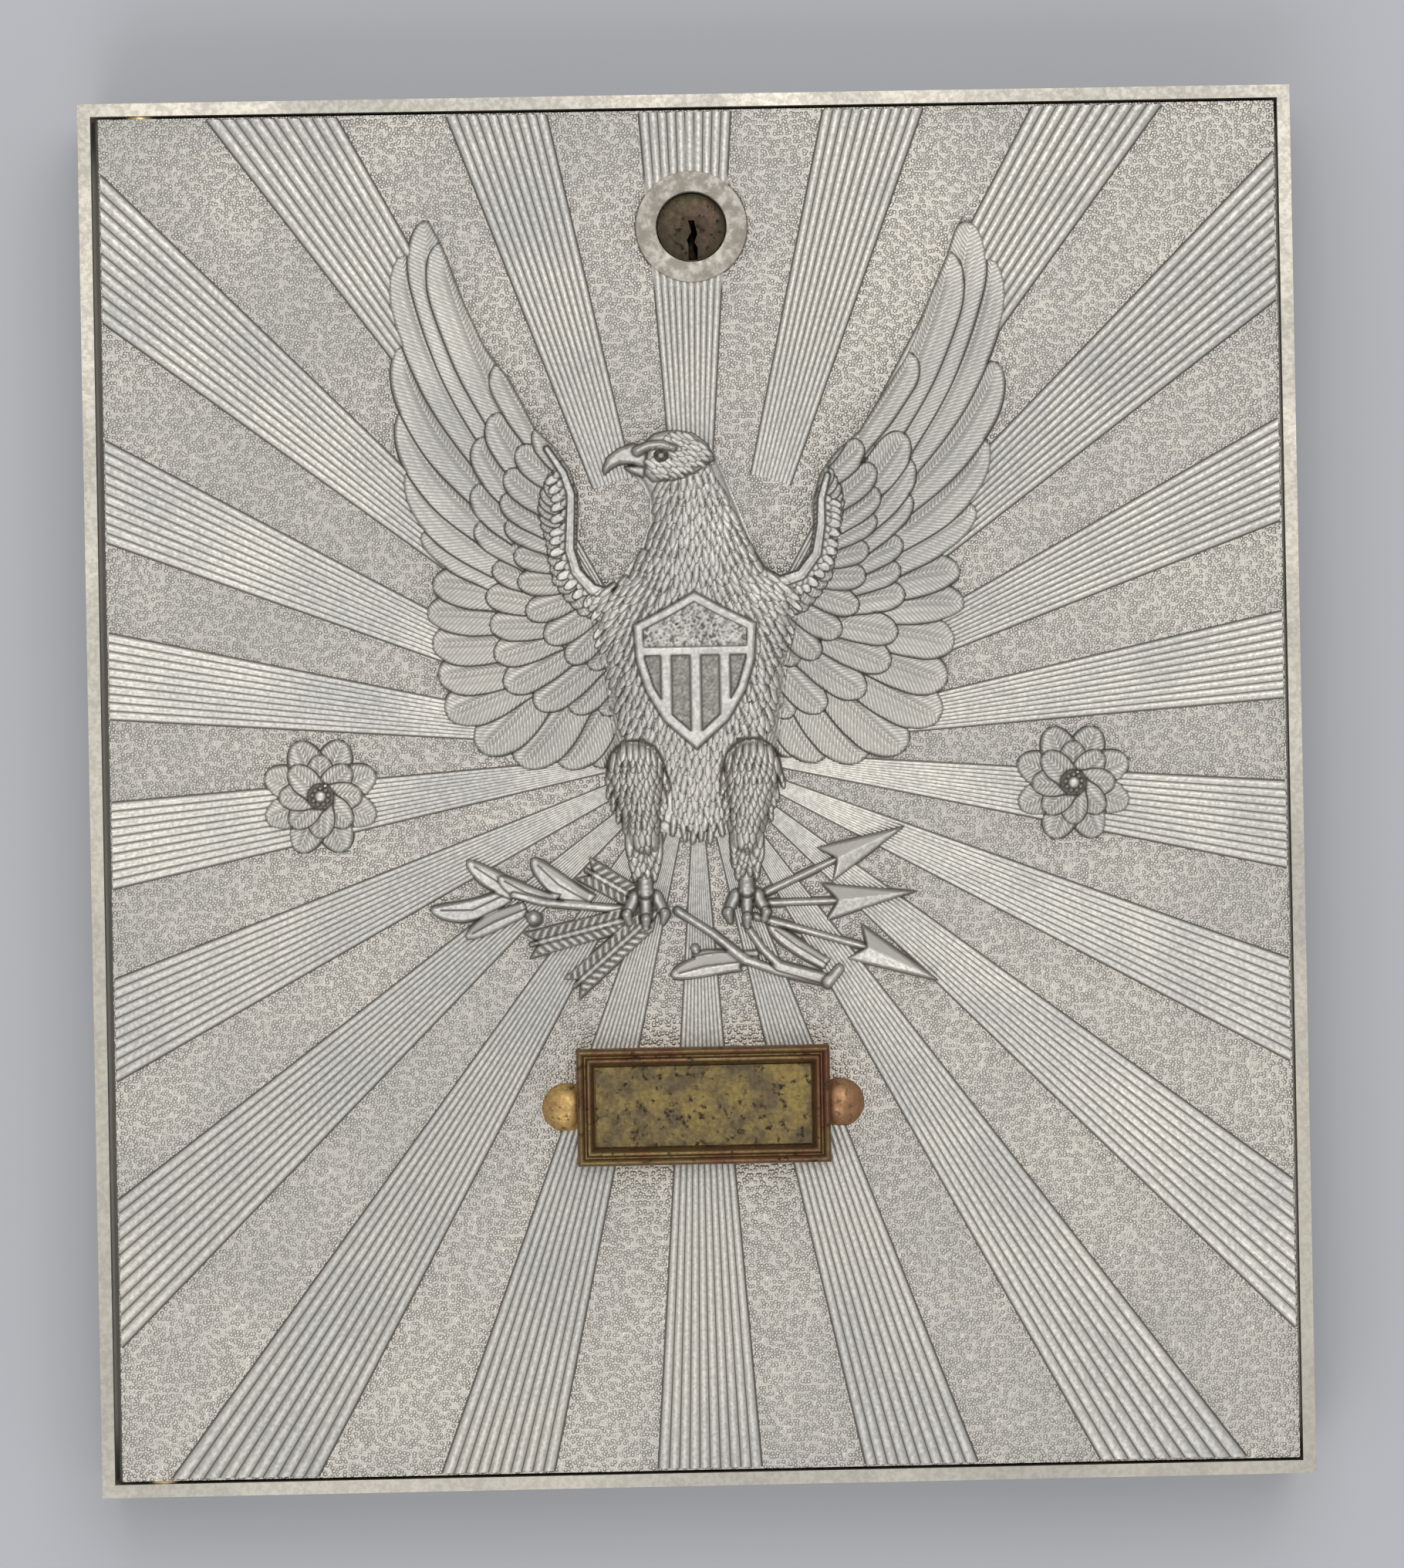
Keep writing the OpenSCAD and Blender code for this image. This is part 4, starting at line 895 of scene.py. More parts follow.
    def mesh(self, name: str, part: Array) -> bpy.types.Mesh:
        """Turns part of the grid into one closed mesh that is let into the leaf.

        Args:
            name: Name of the mesh.
            part: Which cells belong to it.

        Returns:
            The mesh, with its groove and barb attributes.
        """
        low = np.maximum.reduce([self.height[:-1, :-1], self.height[1:, :-1], self.height[:-1, 1:],
                                 self.height[1:, 1:]])
        rows, cols = np.nonzero((low > self.hidden) & part)
        wide = self.x.shape[1]
        a = rows * wide + cols
        quads = np.stack([a, a + 1, a + wide + 1, a + wide], 1)
        used, flat = np.unique(quads, return_inverse=True)
        quads = flat.reshape(-1, 4)
        tops = np.stack([self.x.ravel()[used] * MM, GROUND_Y - self.height.ravel()[used] * MM,
                         MIDDLE_Z + self.z.ravel()[used] * MM], 1)
        sides = np.concatenate([quads[:, [i, (i + 1) % 4]] for i in range(4)])
        key = np.sort(sides, 1)
        _, first, count = np.unique(key, axis=0, return_index=True, return_counts=True)
        rim = sides[first[count == 1]]
        verts = tops.tolist()
        lower = {}
        for v in np.unique(rim):
            lower[int(v)] = len(verts)
            verts.append([tops[v][0], GROUND_Y + self.let_in * MM, tops[v][2]])
        faces = quads.tolist() + [[int(b), int(a), lower[int(a)], lower[int(b)]] for a, b in rim]
        made = bpy.data.meshes.new(name)
        made.from_pydata(verts, [], faces)
        extra = len(verts) - len(used)
        for label, grid in (("groove", self.groove), ("barb", self.barb)):
            layer = made.attributes.new(label, "FLOAT", "POINT")
            values = np.concatenate([grid.ravel()[used], np.zeros(extra)])
            layer.data.foreach_set("value", values.astype(np.float32))
        self._close_back(made)
        return made

    @staticmethod
    def _close_back(mesh: bpy.types.Mesh) -> None:
        """Fills the open back of a relief mesh with flat faces.

        Args:
            mesh: The mesh, open at its back.
        """
        form = bmesh.new()
        form.from_mesh(mesh)
        rim = [edge for edge in form.edges if edge.is_boundary]
        back = (0.0, 1.0, 0.0)
        bmesh.ops.triangle_fill(form, use_beauty=False, use_dissolve=False, edges=rim, normal=back)
        bmesh.ops.recalc_face_normals(form, faces=form.faces)
        form.to_mesh(mesh)
        form.free()


def between(a: Point, b: Point, share: float) -> Point:
    """A place part of the way from one point to another."""
    return (a[0] + (b[0] - a[0]) * share, a[1] + (b[1] - a[1]) * share)


def beside(path: Sequence[Point], gap: float) -> list[Point]:
    """A path moved sideways.

    Args:
        path: Its points in order.
        gap: How far it moves to its left.

    Returns:
        The moved points.
    """
    spots = np.array(path, float)
    run = np.gradient(spots, axis=0)
    run = run / np.hypot(run[:, 0], run[:, 1])[:, None]
    return [(float(x), float(z)) for x, z in spots + gap * np.stack([-run[:, 1], run[:, 0]], 1)]


@dataclass
class Eagle:
    """The spread eagle with its shield, and the branch and arrows in its talons.

    Sizes are in millimetres. The wings' feathers run in rows from the tips to the shoulder: the flight
    feathers, the great coverts and the second ones. Each leg is its hip and ankle, each toe its way
    sideways and down, each leaf its tip, root, half width and bow, and each arrow its tail, the place where
    its shaft leaves the talon, the neck of its head and its point.
    """

    seed: int = 11
    reach: tuple[float, float, float, float] = (-57.0, 58.0, -39.5, 104.0)
    body_half: float = 12.6
    talons_below: float = -4.0
    wing_base: float = 0.55
    arm_rise: float = 1.75
    arm_spread: float = 13.0
    flight_overlap: float = 1.38
    covert_overlap: float = 1.18
    long_nose: float = 2.3
    short_nose: float = 1.5
    long_from: float = 30.0
    plume_pitch: Point = (1.4, 1.45)
    neck_from: float = 38.0
    shield_height: float = 4.15
    bar_gap: float = 5.2
    chief_foot: float = 25.0
    outer_left: tuple[Plume, ...] = (
        (-18.2, 4.4, -12.2, 15.5, 2.85, 0.3), (-24.0, 4.4, -16.0, 16.5, 3.35, 0.4),
        (-31.7, 4.9, -21.5, 17.0, 3.55, 0.4), (-38.7, 7.6, -27.5, 19.0, 3.55, 0.3),
        (-44.6, 14.2, -30.5, 20.5, 3.25, 0.2), (-45.8, 21.0, -32.0, 22.5, 3.05, 0.0),
        (-46.8, 26.8, -33.0, 27.0, 3.05, 0.0), (-47.6, 32.3, -33.5, 31.5, 3.0, -0.3),
        (-46.5, 37.5, -34.0, 35.5, 3.0, -0.5), (-48.3, 46.4, -33.5, 38.5, 3.05, -1.4),
        (-50.5, 57.8, -33.5, 41.0, 3.05, -2.6), (-51.4, 68.4, -34.5, 46.0, 3.05, -3.2),
        (-51.5, 79.8, -35.0, 52.0, 3.05, -3.4), (-50.9, 96.0, -34.5, 58.0, 3.05, -3.8),
        (-46.9, 102.0, -31.5, 59.5, 3.45, -3.4), (-44.2, 98.0, -30.6, 63.0, 3.3, -1.9),
    )
    outer_right: tuple[Plume, ...] = (
        (17.6, 5.7, 12.0, 16.5, 2.65, -0.3), (22.4, 4.8, 14.5, 17.0, 3.15, -0.3),
        (29.8, 4.7, 19.0, 18.0, 3.45, -0.4), (37.1, 6.3, 24.0, 19.0, 3.55, -0.4),
        (43.7, 12.0, 28.0, 21.0, 3.55, -0.2), (44.9, 18.4, 30.0, 24.0, 3.15, 0.0),
        (46.4, 25.2, 31.5, 28.0, 3.05, 0.4), (48.3, 32.4, 32.5, 32.0, 3.0, 0.6),
        (47.6, 38.3, 33.0, 35.5, 3.0, 0.8), (50.6, 49.3, 33.5, 39.5, 3.05, 1.8),
        (52.8, 61.3, 34.5, 44.0, 3.05, 2.6), (55.0, 75.0, 35.5, 50.0, 3.05, 3.2),
        (54.4, 93.5, 36.0, 56.0, 3.05, 4.2), (50.6, 100.2, 33.4, 57.5, 3.45, 3.6),
        (47.0, 94.8, 32.4, 61.0, 3.3, 2.1),
    )
    great_left: tuple[Plume, ...] = (
        (-16.6, 13.6, -11.8, 21.5, 2.35, 0.2), (-22.1, 14.2, -14.6, 22.5, 2.55, 0.2),
        (-28.5, 15.2, -17.6, 23.5, 2.75, 0.2), (-33.9, 18.7, -21.3, 26.3, 2.75, 0.2),
        (-35.7, 24.3, -24.2, 27.8, 2.65, 0.0), (-36.4, 29.9, -25.5, 30.0, 2.55, 0.0),
        (-37.0, 35.2, -27.5, 33.4, 2.35, -0.2), (-35.7, 40.1, -28.5, 37.4, 2.25, -0.2),
        (-38.6, 47.6, -29.0, 41.5, 2.55, -0.5), (-38.7, 54.5, -30.5, 46.0, 2.65, -0.7),
        (-37.9, 63.0, -30.0, 51.0, 2.75, -0.9), (-35.2, 67.3, -28.0, 55.5, 2.85, -0.7),
        (-34.2, 76.4, -26.4, 62.0, 2.85, -0.4),
    )
    great_right: tuple[Plume, ...] = (
        (16.9, 12.5, 12.2, 20.5, 2.25, -0.2), (22.8, 13.6, 15.3, 21.5, 2.55, -0.2),
        (30.1, 16.4, 19.2, 24.2, 2.75, -0.2), (34.8, 21.5, 22.8, 26.8, 2.75, 0.0),
        (36.2, 27.0, 24.4, 29.4, 2.55, 0.2), (37.6, 34.2, 26.2, 32.6, 2.45, 0.3),
        (36.9, 38.7, 26.8, 35.6, 2.35, 0.4), (37.3, 43.5, 27.2, 38.6, 2.35, 0.5),
        (38.8, 51.9, 28.6, 42.6, 2.65, 0.7), (39.0, 58.1, 29.6, 46.6, 2.75, 0.9),
        (38.1, 62.6, 29.2, 51.4, 2.85, 0.8), (39.8, 76.8, 28.0, 60.0, 2.95, 0.4),
    )
    second_left: tuple[Plume, ...] = (
        (-18.5, 21.7, -13.8, 29.0, 2.0, 0.1), (-22.6, 23.0, -15.4, 30.6, 2.2, 0.1),
        (-26.6, 27.0, -17.6, 32.6, 2.3, 0.1), (-29.9, 31.6, -21.0, 34.8, 2.2, 0.0),
        (-31.3, 37.4, -22.0, 37.6, 2.2, 0.0), (-31.9, 42.3, -22.8, 40.6, 2.1, -0.1),
        (-33.3, 47.8, -24.0, 43.6, 2.1, -0.2), (-33.9, 52.6, -25.4, 46.8, 2.2, -0.3),
        (-33.1, 57.0, -24.8, 50.4, 2.3, -0.4), (-30.9, 61.2, -22.8, 54.6, 2.4, -0.4),
        (-27.5, 64.8, -21.2, 57.0, 2.4, -0.2),
    )
    front_left: tuple[Point, ...] = (
        (-46.0, 101.7), (-44.2, 98.4), (-42.7, 94.7), (-39.8, 86.6), (-36.5, 79.3), (-34.4, 76.3),
        (-32.4, 73.8), (-29.9, 69.0), (-27.9, 64.7), (-24.7, 61.6), (-21.8, 57.2), (-20.4, 53.0),
        (-20.6, 47.6), (-20.8, 43.2), (-19.8, 39.6), (-17.4, 36.8), (-14.4, 35.9), (-11.6, 37.2),
        (-9.6, 40.2), (-8.2, 43.8),
    )
    front_right: tuple[Point, ...] = (
        (49.2, 101.2), (47.8, 98.4), (46.6, 94.7), (43.4, 87.4), (40.1, 79.3), (38.2, 75.7), (35.3, 71.2),
        (30.1, 63.1), (25.7, 59.4), (23.0, 55.7), (21.8, 51.3), (21.7, 46.9), (20.9, 42.0), (18.4, 38.7),
        (15.4, 37.7), (12.8, 39.4), (10.6, 43.0),
    )
    shield: tuple[Point, ...] = (
        (0.0, 35.2), (-5.0, 32.4), (-11.0, 29.4), (-10.6, 23.0), (-8.9, 17.4), (-5.8, 12.2), (0.0, 7.0),
        (5.8, 12.2), (8.9, 17.4), (10.6, 23.0), (11.0, 29.4), (5.0, 32.4),
    )

    legs: tuple[tuple[Point, Point], ...] = (((-11.0, 3.8), (-9.6, -9.0)), ((9.8, 3.8), (8.4, -9.0)))
    toes: tuple[Point, ...] = ((-3.4, 0.0), (3.4, 0.0), (0.0, 0.9))
    sole: float = -17.8
    knuckle: float = -18.9
    claw: float = -22.0
    leaves: tuple[tuple[Point, Point, float, float], ...] = (
        ((-47.9, -20.6), (-33.6, -17.6), 2.0, 1.6), ((-41.4, -12.0), (-28.4, -18.6), 1.9, 0.9),
        ((-29.8, -11.8), (-19.4, -19.8), 2.2, 0.8), ((-41.8, -25.6), (-30.8, -20.6), 1.8, -0.4),
        ((-35.8, -15.0), (-25.5, -19.4), 1.6, 0.6), ((-1.6, -29.2), (10.4, -29.8), 1.6, 0.6),
        ((-5.4, -33.0), (6.8, -30.8), 2.1, -0.5), ((12.0, -24.2), (22.5, -31.5), 1.5, 0.3),
    )
    binding: Point = (-7.5, -21.5)
    arrows: tuple[tuple[Point, Point, Point, Point], ...] = (
        ((-20.0, -14.0), (7.5, -20.5), (24.5, -12.8), (37.2, -7.0)),
        ((-30.0, -27.0), (7.5, -20.5), (24.5, -20.2), (38.8, -18.8)),
        ((-22.5, -34.5), (9.0, -22.5), (29.5, -28.6), (42.8, -35.0)),
    )

    def build(self, finishes: Finishes) -> list[bpy.types.Object]:
        """Models the eagle on one grid and parts it into pieces.

        Args:
            finishes: The materials.

        Returns:
            The two wings, the body, and the talons with what they hold.
        """
        relief = ReliefField(*self.reach)
        draw = np.random.default_rng(self.seed)
        self._forms(relief)
        self._wings(relief, draw)
        self._torso(relief)
        self._bundle(relief)
        self._plumage(relief, draw)
        self._legs(relief, draw)
        self._shield(relief)
        self._head(relief)
        relief.soften()
        x = (relief.x[:-1, :-1] + relief.x[1:, 1:]) / 2
        z = (relief.z[:-1, :-1] + relief.z[1:, 1:]) / 2
        low = z < self.talons_below
        parts = {
            "eagle_left_wing": (x < -self.body_half) & ~low, "eagle_right_wing": (x > self.body_half) & ~low,
            "eagle_body": (abs(x) <= self.body_half) & ~low, "eagle_talons": low,
        }
        made = []
        for name, part in parts.items():
            piece = new_object(name, relief.mesh(name, part), finishes["carved_relief"])
            finish_mesh(piece, 62.0)
            made.append(piece)
        return made

    def _forms(self, relief: ReliefField) -> None:
        """Sets how high the wings stand, from the arms out to the tips.

        Args:
            relief: The grid that it is laid on.
        """
        arm = [(-27.0, 62.0), (-22.6, 50.0), (-20.0, 40.0), (-10.0, 30.0)]
        everything = (slice(None), slice(None))
        mirrored = [(-x, z) for x, z in arm]
        gap = np.minimum(*(relief.path_distance(everything, path)[0] for path in (arm, mirrored)))
        relief.form = self.wing_base + self.arm_rise * np.exp(-((gap / self.arm_spread) ** 1.4))

    @staticmethod
    def _torso(relief: ReliefField) -> None:
        """Raises the smooth form of the neck, breast and belly.

        Args:
            relief: The grid that it is laid on.
        """
        body = [
            (-4.5, 63.8), (0, 63.4), (3.4, 61.2), (6, 55.5), (8.6, 49), (11, 43), (13.6, 38.8),
            (16.4, 37.2), (19, 34), (16, 20), (14.5, 8), (12.6, 0), (5, -8), (0, -9.2), (-5, -8),
            (-13, 0), (-14.5, 8), (-16, 20), (-19, 34), (-16.2, 36), (-12.4, 38.4), (-9.2, 43),
            (-7.4, 48), (-7.6, 52), (-8.8, 54.6), (-11, 57.2), (-9.4, 61.4),
        ]

        def stand(_x: Array, z: Array) -> Array:
            """Height of the body's form."""
            return 0.5 + 3.0 * smooth(-12.0, 12.0, z) - 0.9 * smooth(38.0, 52.0, z)

        relief.swell(body, stand, 6.5)

    def _wings(self, relief: ReliefField, draw: np.random.Generator) -> None:
        """Lays both wings, from the flight feathers' tips towards the shoulder.

        Args:
            relief: The grid that it is laid on.
            draw: Source of the small irregularities.
        """
        second_right = tuple((-tx - 0.6, tz, -rx, rz, w, -b) for tx, tz, rx, rz, w, b in self.second_left)
        for side, front, rows in (
            (-1, self.front_left, (self.outer_left, self.great_left, self.second_left)),
            (1, self.front_right, (self.outer_right, self.great_right, second_right)),
        ):
            # The small coverts run out from this place beside the neck.
            hollow = (14.8 * side, 47.0)
            base = [between(plume[:2], plume[2:4], 0.2) for plume in rows[0]]
            floor = [*base, *front, (0.0, 40.0), (0.0, 12.0)]
            win = relief.window(floor, 1.0)
            # The floor under the feathers is painted a little darker, as shade between them.
            relief.lay(win, relief.polygon_distance(win, floor), 0.75 * relief.form[win], 1.2, shade=0.25)
            for level, row in enumerate(rows):
                flight = level == 0
                for tx, tz, rx, rz, half, bow in row:
                    wide = half * (self.flight_overlap if flight else self.covert_overlap)
                    nose = self.long_nose if flight and tz > self.long_from else self.short_nose
                    # The long feathers bend the other way than the short ones by the body.
                    bend = 1.0 - 1.7 * float(smooth(36.0, 60.0, tz))
                    relief.feather((tx, tz), (rx, rz), wide, bow * bend, rise=0.40 + 0.05 * level,
                                   lean=-0.16 * side, nose=nose)
            for near, far, half in ((0.34, 0.72, 1.75), (0.54, 0.86, 1.45)):
                for k, (tx, tz, *_) in enumerate(rows[2]):
                    following = rows[2][min(k + 1, len(rows[2]) - 1)]
                    for tip in ((tx, tz), between((tx, tz), following[:2], 0.5)):
                        relief.feather(between(tip, hollow, near), between(tip, hollow, far), half,
                                       rise=0.40, lean=-0.1 * side, nose=1.6)
            self._arm_tufts(relief, front, side, draw)
            self._front_edge(relief, front, side)

    @staticmethod
    def _arm_tufts(
        relief: ReliefField, front: Sequence[Point], side: int, draw: np.random.Generator
    ) -> None:
        """Covers the arm with small rounded feathers that point away from the hollow by the neck.

        Args:
            relief: The grid that it is laid on.
            front: The wing's front edge, from its tip to the neck.
            side: -1 for the left wing and 1 for the right.
            draw: Source of the small irregularities.
        """
        edge, count = front[10:], 22
        for row in (1, 0):
            line = beside(edge, side * (1.6 + 1.5 * row))
            for k in range(count):
                share = (k + 0.5 * row + draw.uniform(-0.15, 0.15)) / count
                at = share * (len(line) - 1)
                low = min(int(at), len(line) - 2)
                near = between(line[low], line[low + 1], at - low)
                out = np.subtract(line[low], edge[low])
                out = out / np.hypot(*out) + np.array((0.35 * side, -0.5))
                out = out / np.hypot(*out)
                size = 1.5 + 0.25 * row
                far = (near[0] + out[0] * size, near[1] + out[1] * size)
                root = (near[0] - out[0] * 0.9, near[1] - out[1] * 0.9)
                relief.feather(far, root, 0.72 + 0.08 * row, rise=0.32, barbs=False, lean=0.05, nose=1.7,
                               cut=0.12)

    @staticmethod
    def _front_edge(relief: ReliefField, front: Sequence[Point], side: int) -> None:
        """Trims the wing to its front edge and rolls the edge where it meets the neck.

        Args:
            relief: The grid that it is laid on.
            front: The wing's front edge, from its tip to the neck.
            side: -1 for the left wing and 1 for the right.
        """
        relief.clear([*front, (0.0, 50.0), (0.0, 104.5), (front[0][0], 104.5)])
        roll = beside(front[9:], side * 1.15)
        relief.cord(roll, (0.55, 1.15), (1.0, 1.5), base=0.9, cut=0.3)

    def _plumage(self, relief: ReliefField, draw: np.random.Generator) -> None:
        """Covers the neck, breast and belly with small feathers, the lowest first.

        Args:
            relief: The grid that it is laid on.
            draw: Source of the small irregularities.
        """
        spots: list[tuple[float, Point, Point, float]] = []
        across, up = self.plume_pitch
        for i, z in enumerate(np.arange(-7.5, 63.0, up)):
            for x in np.arange(-19.0, 19.5, across):
                place = (x + draw.uniform(-0.25, 0.25) + 0.72 * (i % 2), z + draw.uniform(-0.25, 0.25))
                if not self._on_body(*place):
                    continue
                # They point away from a place on the neck, and on the neck from one above the head.
                source, spread = (49.0, 1.0) if z < self.neck_from else (70.0, 1.5)
                out = np.array((place[0] * spread, place[1] - source))
                out = out / np.hypot(*out) + draw.uniform(-0.16, 0.16, 2)
                near = (place[0] - out[0] * 1.2, place[1] - out[1] * 1.2)
                size = draw.uniform(1.6, 2.3)
                far = (place[0] + out[0] * size, place[1] + out[1] * size)
                spots.append((z, far, near, draw.uniform(0.52, 0.68)))
        for _, far, near, half in sorted(spots, key=lambda spot: spot[0]):
            relief.feather(far, near, half, rise=0.36, barbs=False, lean=0.05, nose=2.6, cut=0.07)

    @staticmethod
    def _on_body(x: float, z: float) -> bool:
        """Whether a small feather stands on the neck, breast or belly at a place.

        Args:
            x: The place across.
            z: The place up.

        Returns:
            True inside the body's outline, apart from the head.
        """
        left = np.interp(z, (-9, -7, 0, 8, 20, 33, 36, 38.4, 43, 48, 52, 56, 63),
                         (0, -5, -5, -13, -15, -18.5, -16, -12, -8.8, -7, -7, -7.5, -4.4))
        right = np.interp(z, (-9, -7, 0, 8, 20, 34, 37, 39, 43, 49, 55, 61, 63),
                          (0, 5, 5, 13, 15, 18.5, 16, 13.2, 10.6, 8.2, 5.6, 3, 0))
        head = z > 55.5 and x < 0.5
        return left + 0.5 < x < right - 0.5 and not head

    def _shield(self, relief: ReliefField) -> None:
        """Lays the shield: a rim and bars in front of a recessed floor.

        Args:
            relief: The grid that it is laid on.
        """
        relief.plate(self.shield, self.shield_height, 0.5)
        floor = [(x * 0.86, 21.5 + (z - 21.2) * 0.86) for x, z in self.shield]
        win = relief.window(self.shield, 1.0)
        x, z = relief.x[win], relief.z[win]
        inside = relief.polygon_distance(win, floor)
        bars = np.minimum.reduce([abs(x + self.bar_gap), abs(x), abs(x - self.bar_gap)]) - 0.75
        bars = np.where(z < self.chief_foot, bars, 1.0)
        bars = np.minimum(bars, abs(z - 24.6) - 0.6)
        deep = smooth(0.0, 0.35, np.minimum(inside, bars))
        chief = (z > self.chief_foot) & (inside > 0)
        draw = np.random.default_rng(self.seed + 1)
        rough = draw.uniform(-1.0, 1.0, x.shape)
        rough = (rough + np.roll(rough, 1, 0) + np.roll(rough, 1, 1) + np.roll(rough, (1, 1), (0, 1))) / 2
        relief.height[win] -= deep * np.where(chief, 0.55, 0.95)
        # The sunk floor is painted darker and its steps darkest, as dirt and painted shade; the chief is
        # mottled.
        floor_dirt_and_shade = np.where(chief, 0.45 - 0.35 * rough, 0.6 - 0.12 * rough)
        dirt_and_shade = np.clip(np.maximum(deep * floor_dirt_and_shade, 4 * deep * (1 - deep)), 0, 1)
        relief.groove[win] = np.where(inside > -0.2, dirt_and_shade, relief.groove[win])
        relief.height[win] += np.where(chief & (deep > 0.9), 0.14 * rough, 0.0)

    def _head(self, relief: ReliefField) -> None:
        """Lays the crown, the brow, the eye and the hooked beak.

        Args:
            relief: The grid that it is laid on.
        """
        crown = [(-8.6, 61.6), (-6.6, 63.4), (-3.4, 64.2), (0.4, 63.6), (3.0, 61.6), (4.2, 58.6), (1.0, 56.6),
                 (-3.0, 55.0), (-7.0, 54.8), (-9.2, 57.0)]
        win = relief.window(crown, 1.0)
        inside = relief.polygon_distance(win, crown)
        dome = np.sqrt(1 - (1 - np.clip(inside / 3.4, 0, 1)) ** 2)
        relief.lay(win, inside, 1.4 + 2.1 * dome, 0.5)
        upper = [(-7.6, 61.3), (-10.4, 61.9), (-13.0, 61.2), (-15.2, 59.5), (-16.1, 57.3), (-15.6, 55.9),
                 (-14.2, 57.1), (-12.6, 57.9), (-10.6, 57.7), (-8.2, 57.2)]
        relief.plate(upper, lambda x, z: 2.5 - 0.10 * np.abs(x + 9) - 0.18 * np.abs(z - 59.8), 0.9)
        lower = [(-8.2, 57.4), (-10.6, 57.9), (-12.4, 57.7), (-11.0, 56.6), (-8.6, 55.6)]
        relief.plate(lower, 1.65, 0.5)
        backwards = np.array((0.82, -0.57))
        draw = np.random.default_rng(self.seed + 2)
        for row, z in enumerate(np.arange(54.0, 63.8, 1.0)):
            for x in np.arange(-7.4 if z < 58.4 else -3.6, 4.4, 1.25):
                spot = (x + 0.6 * (row % 2) + draw.uniform(-0.2, 0.2), z + draw.uniform(-0.2, 0.2))
                if relief.polygon_distance(relief.window([spot], 0.1), crown).min() < 0.5:
                    continue
                relief.form[relief.window([spot], 3.0)] = 3.0
                relief.feather(tuple(spot + backwards * 1.4), tuple(spot - backwards), 0.5, rise=0.26,
                               barbs=False, lean=0.0, nose=2.0, cut=0.1)
        brow = [(-9.6, 60.3), (-7.6, 61.2), (-5.4, 61.4), (-3.2, 60.7)]
        relief.cord(brow, (0.95, 0.6), (3.9, 3.6), cut=0.35)
        self._eye(relief)

    @staticmethod
    def _eye(relief: ReliefField) -> None:
        """Sinks the eye's socket and sets the ball in it.

        Args:
            relief: The grid that it is laid on.
        """
        socket, ball, level = 1.25, 0.75, 2.5
        win = relief.window([(-5.3, 59.5)], 3.0)
        away = np.hypot(relief.x[win] + 5.4, (relief.z[win] - 59.4) * 1.15)
        hollow = level + 0.4 * smooth(0.8, socket, away)
        relief.height[win] = np.where(away < socket, hollow, relief.height[win])
        # Painted shade darkens the socket fully and the ball by half.
        relief.groove[win] = np.where(away < socket + 0.1, 1.0, relief.groove[win])
        dome = np.sqrt(np.clip(1 - (away / ball) ** 2, 0, 1))
        relief.height[win] = np.where(away < ball, level + 0.6 * dome, relief.height[win])
        relief.groove[win] = np.where(away < 0.8 * ball, 0.5, relief.groove[win])

    def _legs(self, relief: ReliefField, draw: np.random.Generator) -> None:
        """Lays the feathered thighs, the ringed shanks and the toes closed over the bundle.

        Args:
            relief: The grid that it is laid on.
            draw: Source of the small irregularities.
        """
        for hip, ankle in self.legs:
            sole = (ankle[0], self.sole)
            for toe, drop in self.toes:
                knuckle = (sole[0] + toe * 0.55, self.knuckle - drop * 0.4)
                claw = (sole[0] + toe, self.claw - drop)
                relief.cord([sole, knuckle], (1.3, 1.35), (2.3, 2.7))
                relief.cord([knuckle, claw], (1.3, 1.05), (2.8, 2.5))
                relief.cord([claw, (claw[0] - 0.12 * toe, claw[1] - 1.5)], (1.0, 0.55), (2.7, 1.5), cut=0.35)
            relief.cord([(ankle[0], -8.0), sole], (1.8, 1.6), (2.3, 2.2), rings=1.05)
            win = relief.window((hip, ankle), 7.0)
            gap, where = relief.path_distance(win, [hip, ankle])
            wide = 5.1 - 2.7 * where
            dome = np.sqrt(np.clip(1 - (gap / wide) ** 2, 0, 1))
            form = (1.1 + 2.7 * dome) * (1 - 0.25 * where)
            relief.lay(win, wide - gap, form, 0.7, halo=0.6, cut=0.5)
            relief.form[win] = np.where(gap < wide + 1.5, form - 0.12, relief.form[win])
            for i, up in enumerate(np.arange(-12.0, 8.4, 1.1)):
                mid = float(np.interp(up, (ankle[1], hip[1]), (ankle[0], hip[0])))
                spread = float(np.interp(up, (-12, -6, 2, 5, 8.4), (1.7, 2.9, 4.7, 4.4, 1.6)))
                for k in np.arange(-spread, spread + 0.1, 1.15):
                    spot = (mid + k + 0.5 * (i % 2) + draw.uniform(-0.2, 0.2), up + draw.uniform(-0.2, 0.2))
                    tuft = 2.6 if up > -6 else 3.2 + 0.7 * abs(k)
                    tip = (spot[0] + 0.16 * k * (1 if up > -4 else -0.2), spot[1] - tuft)
                    relief.feather(tip, (spot[0], spot[1] + 0.9), 0.55 if up > -6 else 0.75, rise=0.34,
                                   barbs=False, lean=0.05, nose=3.0, cut=0.13)

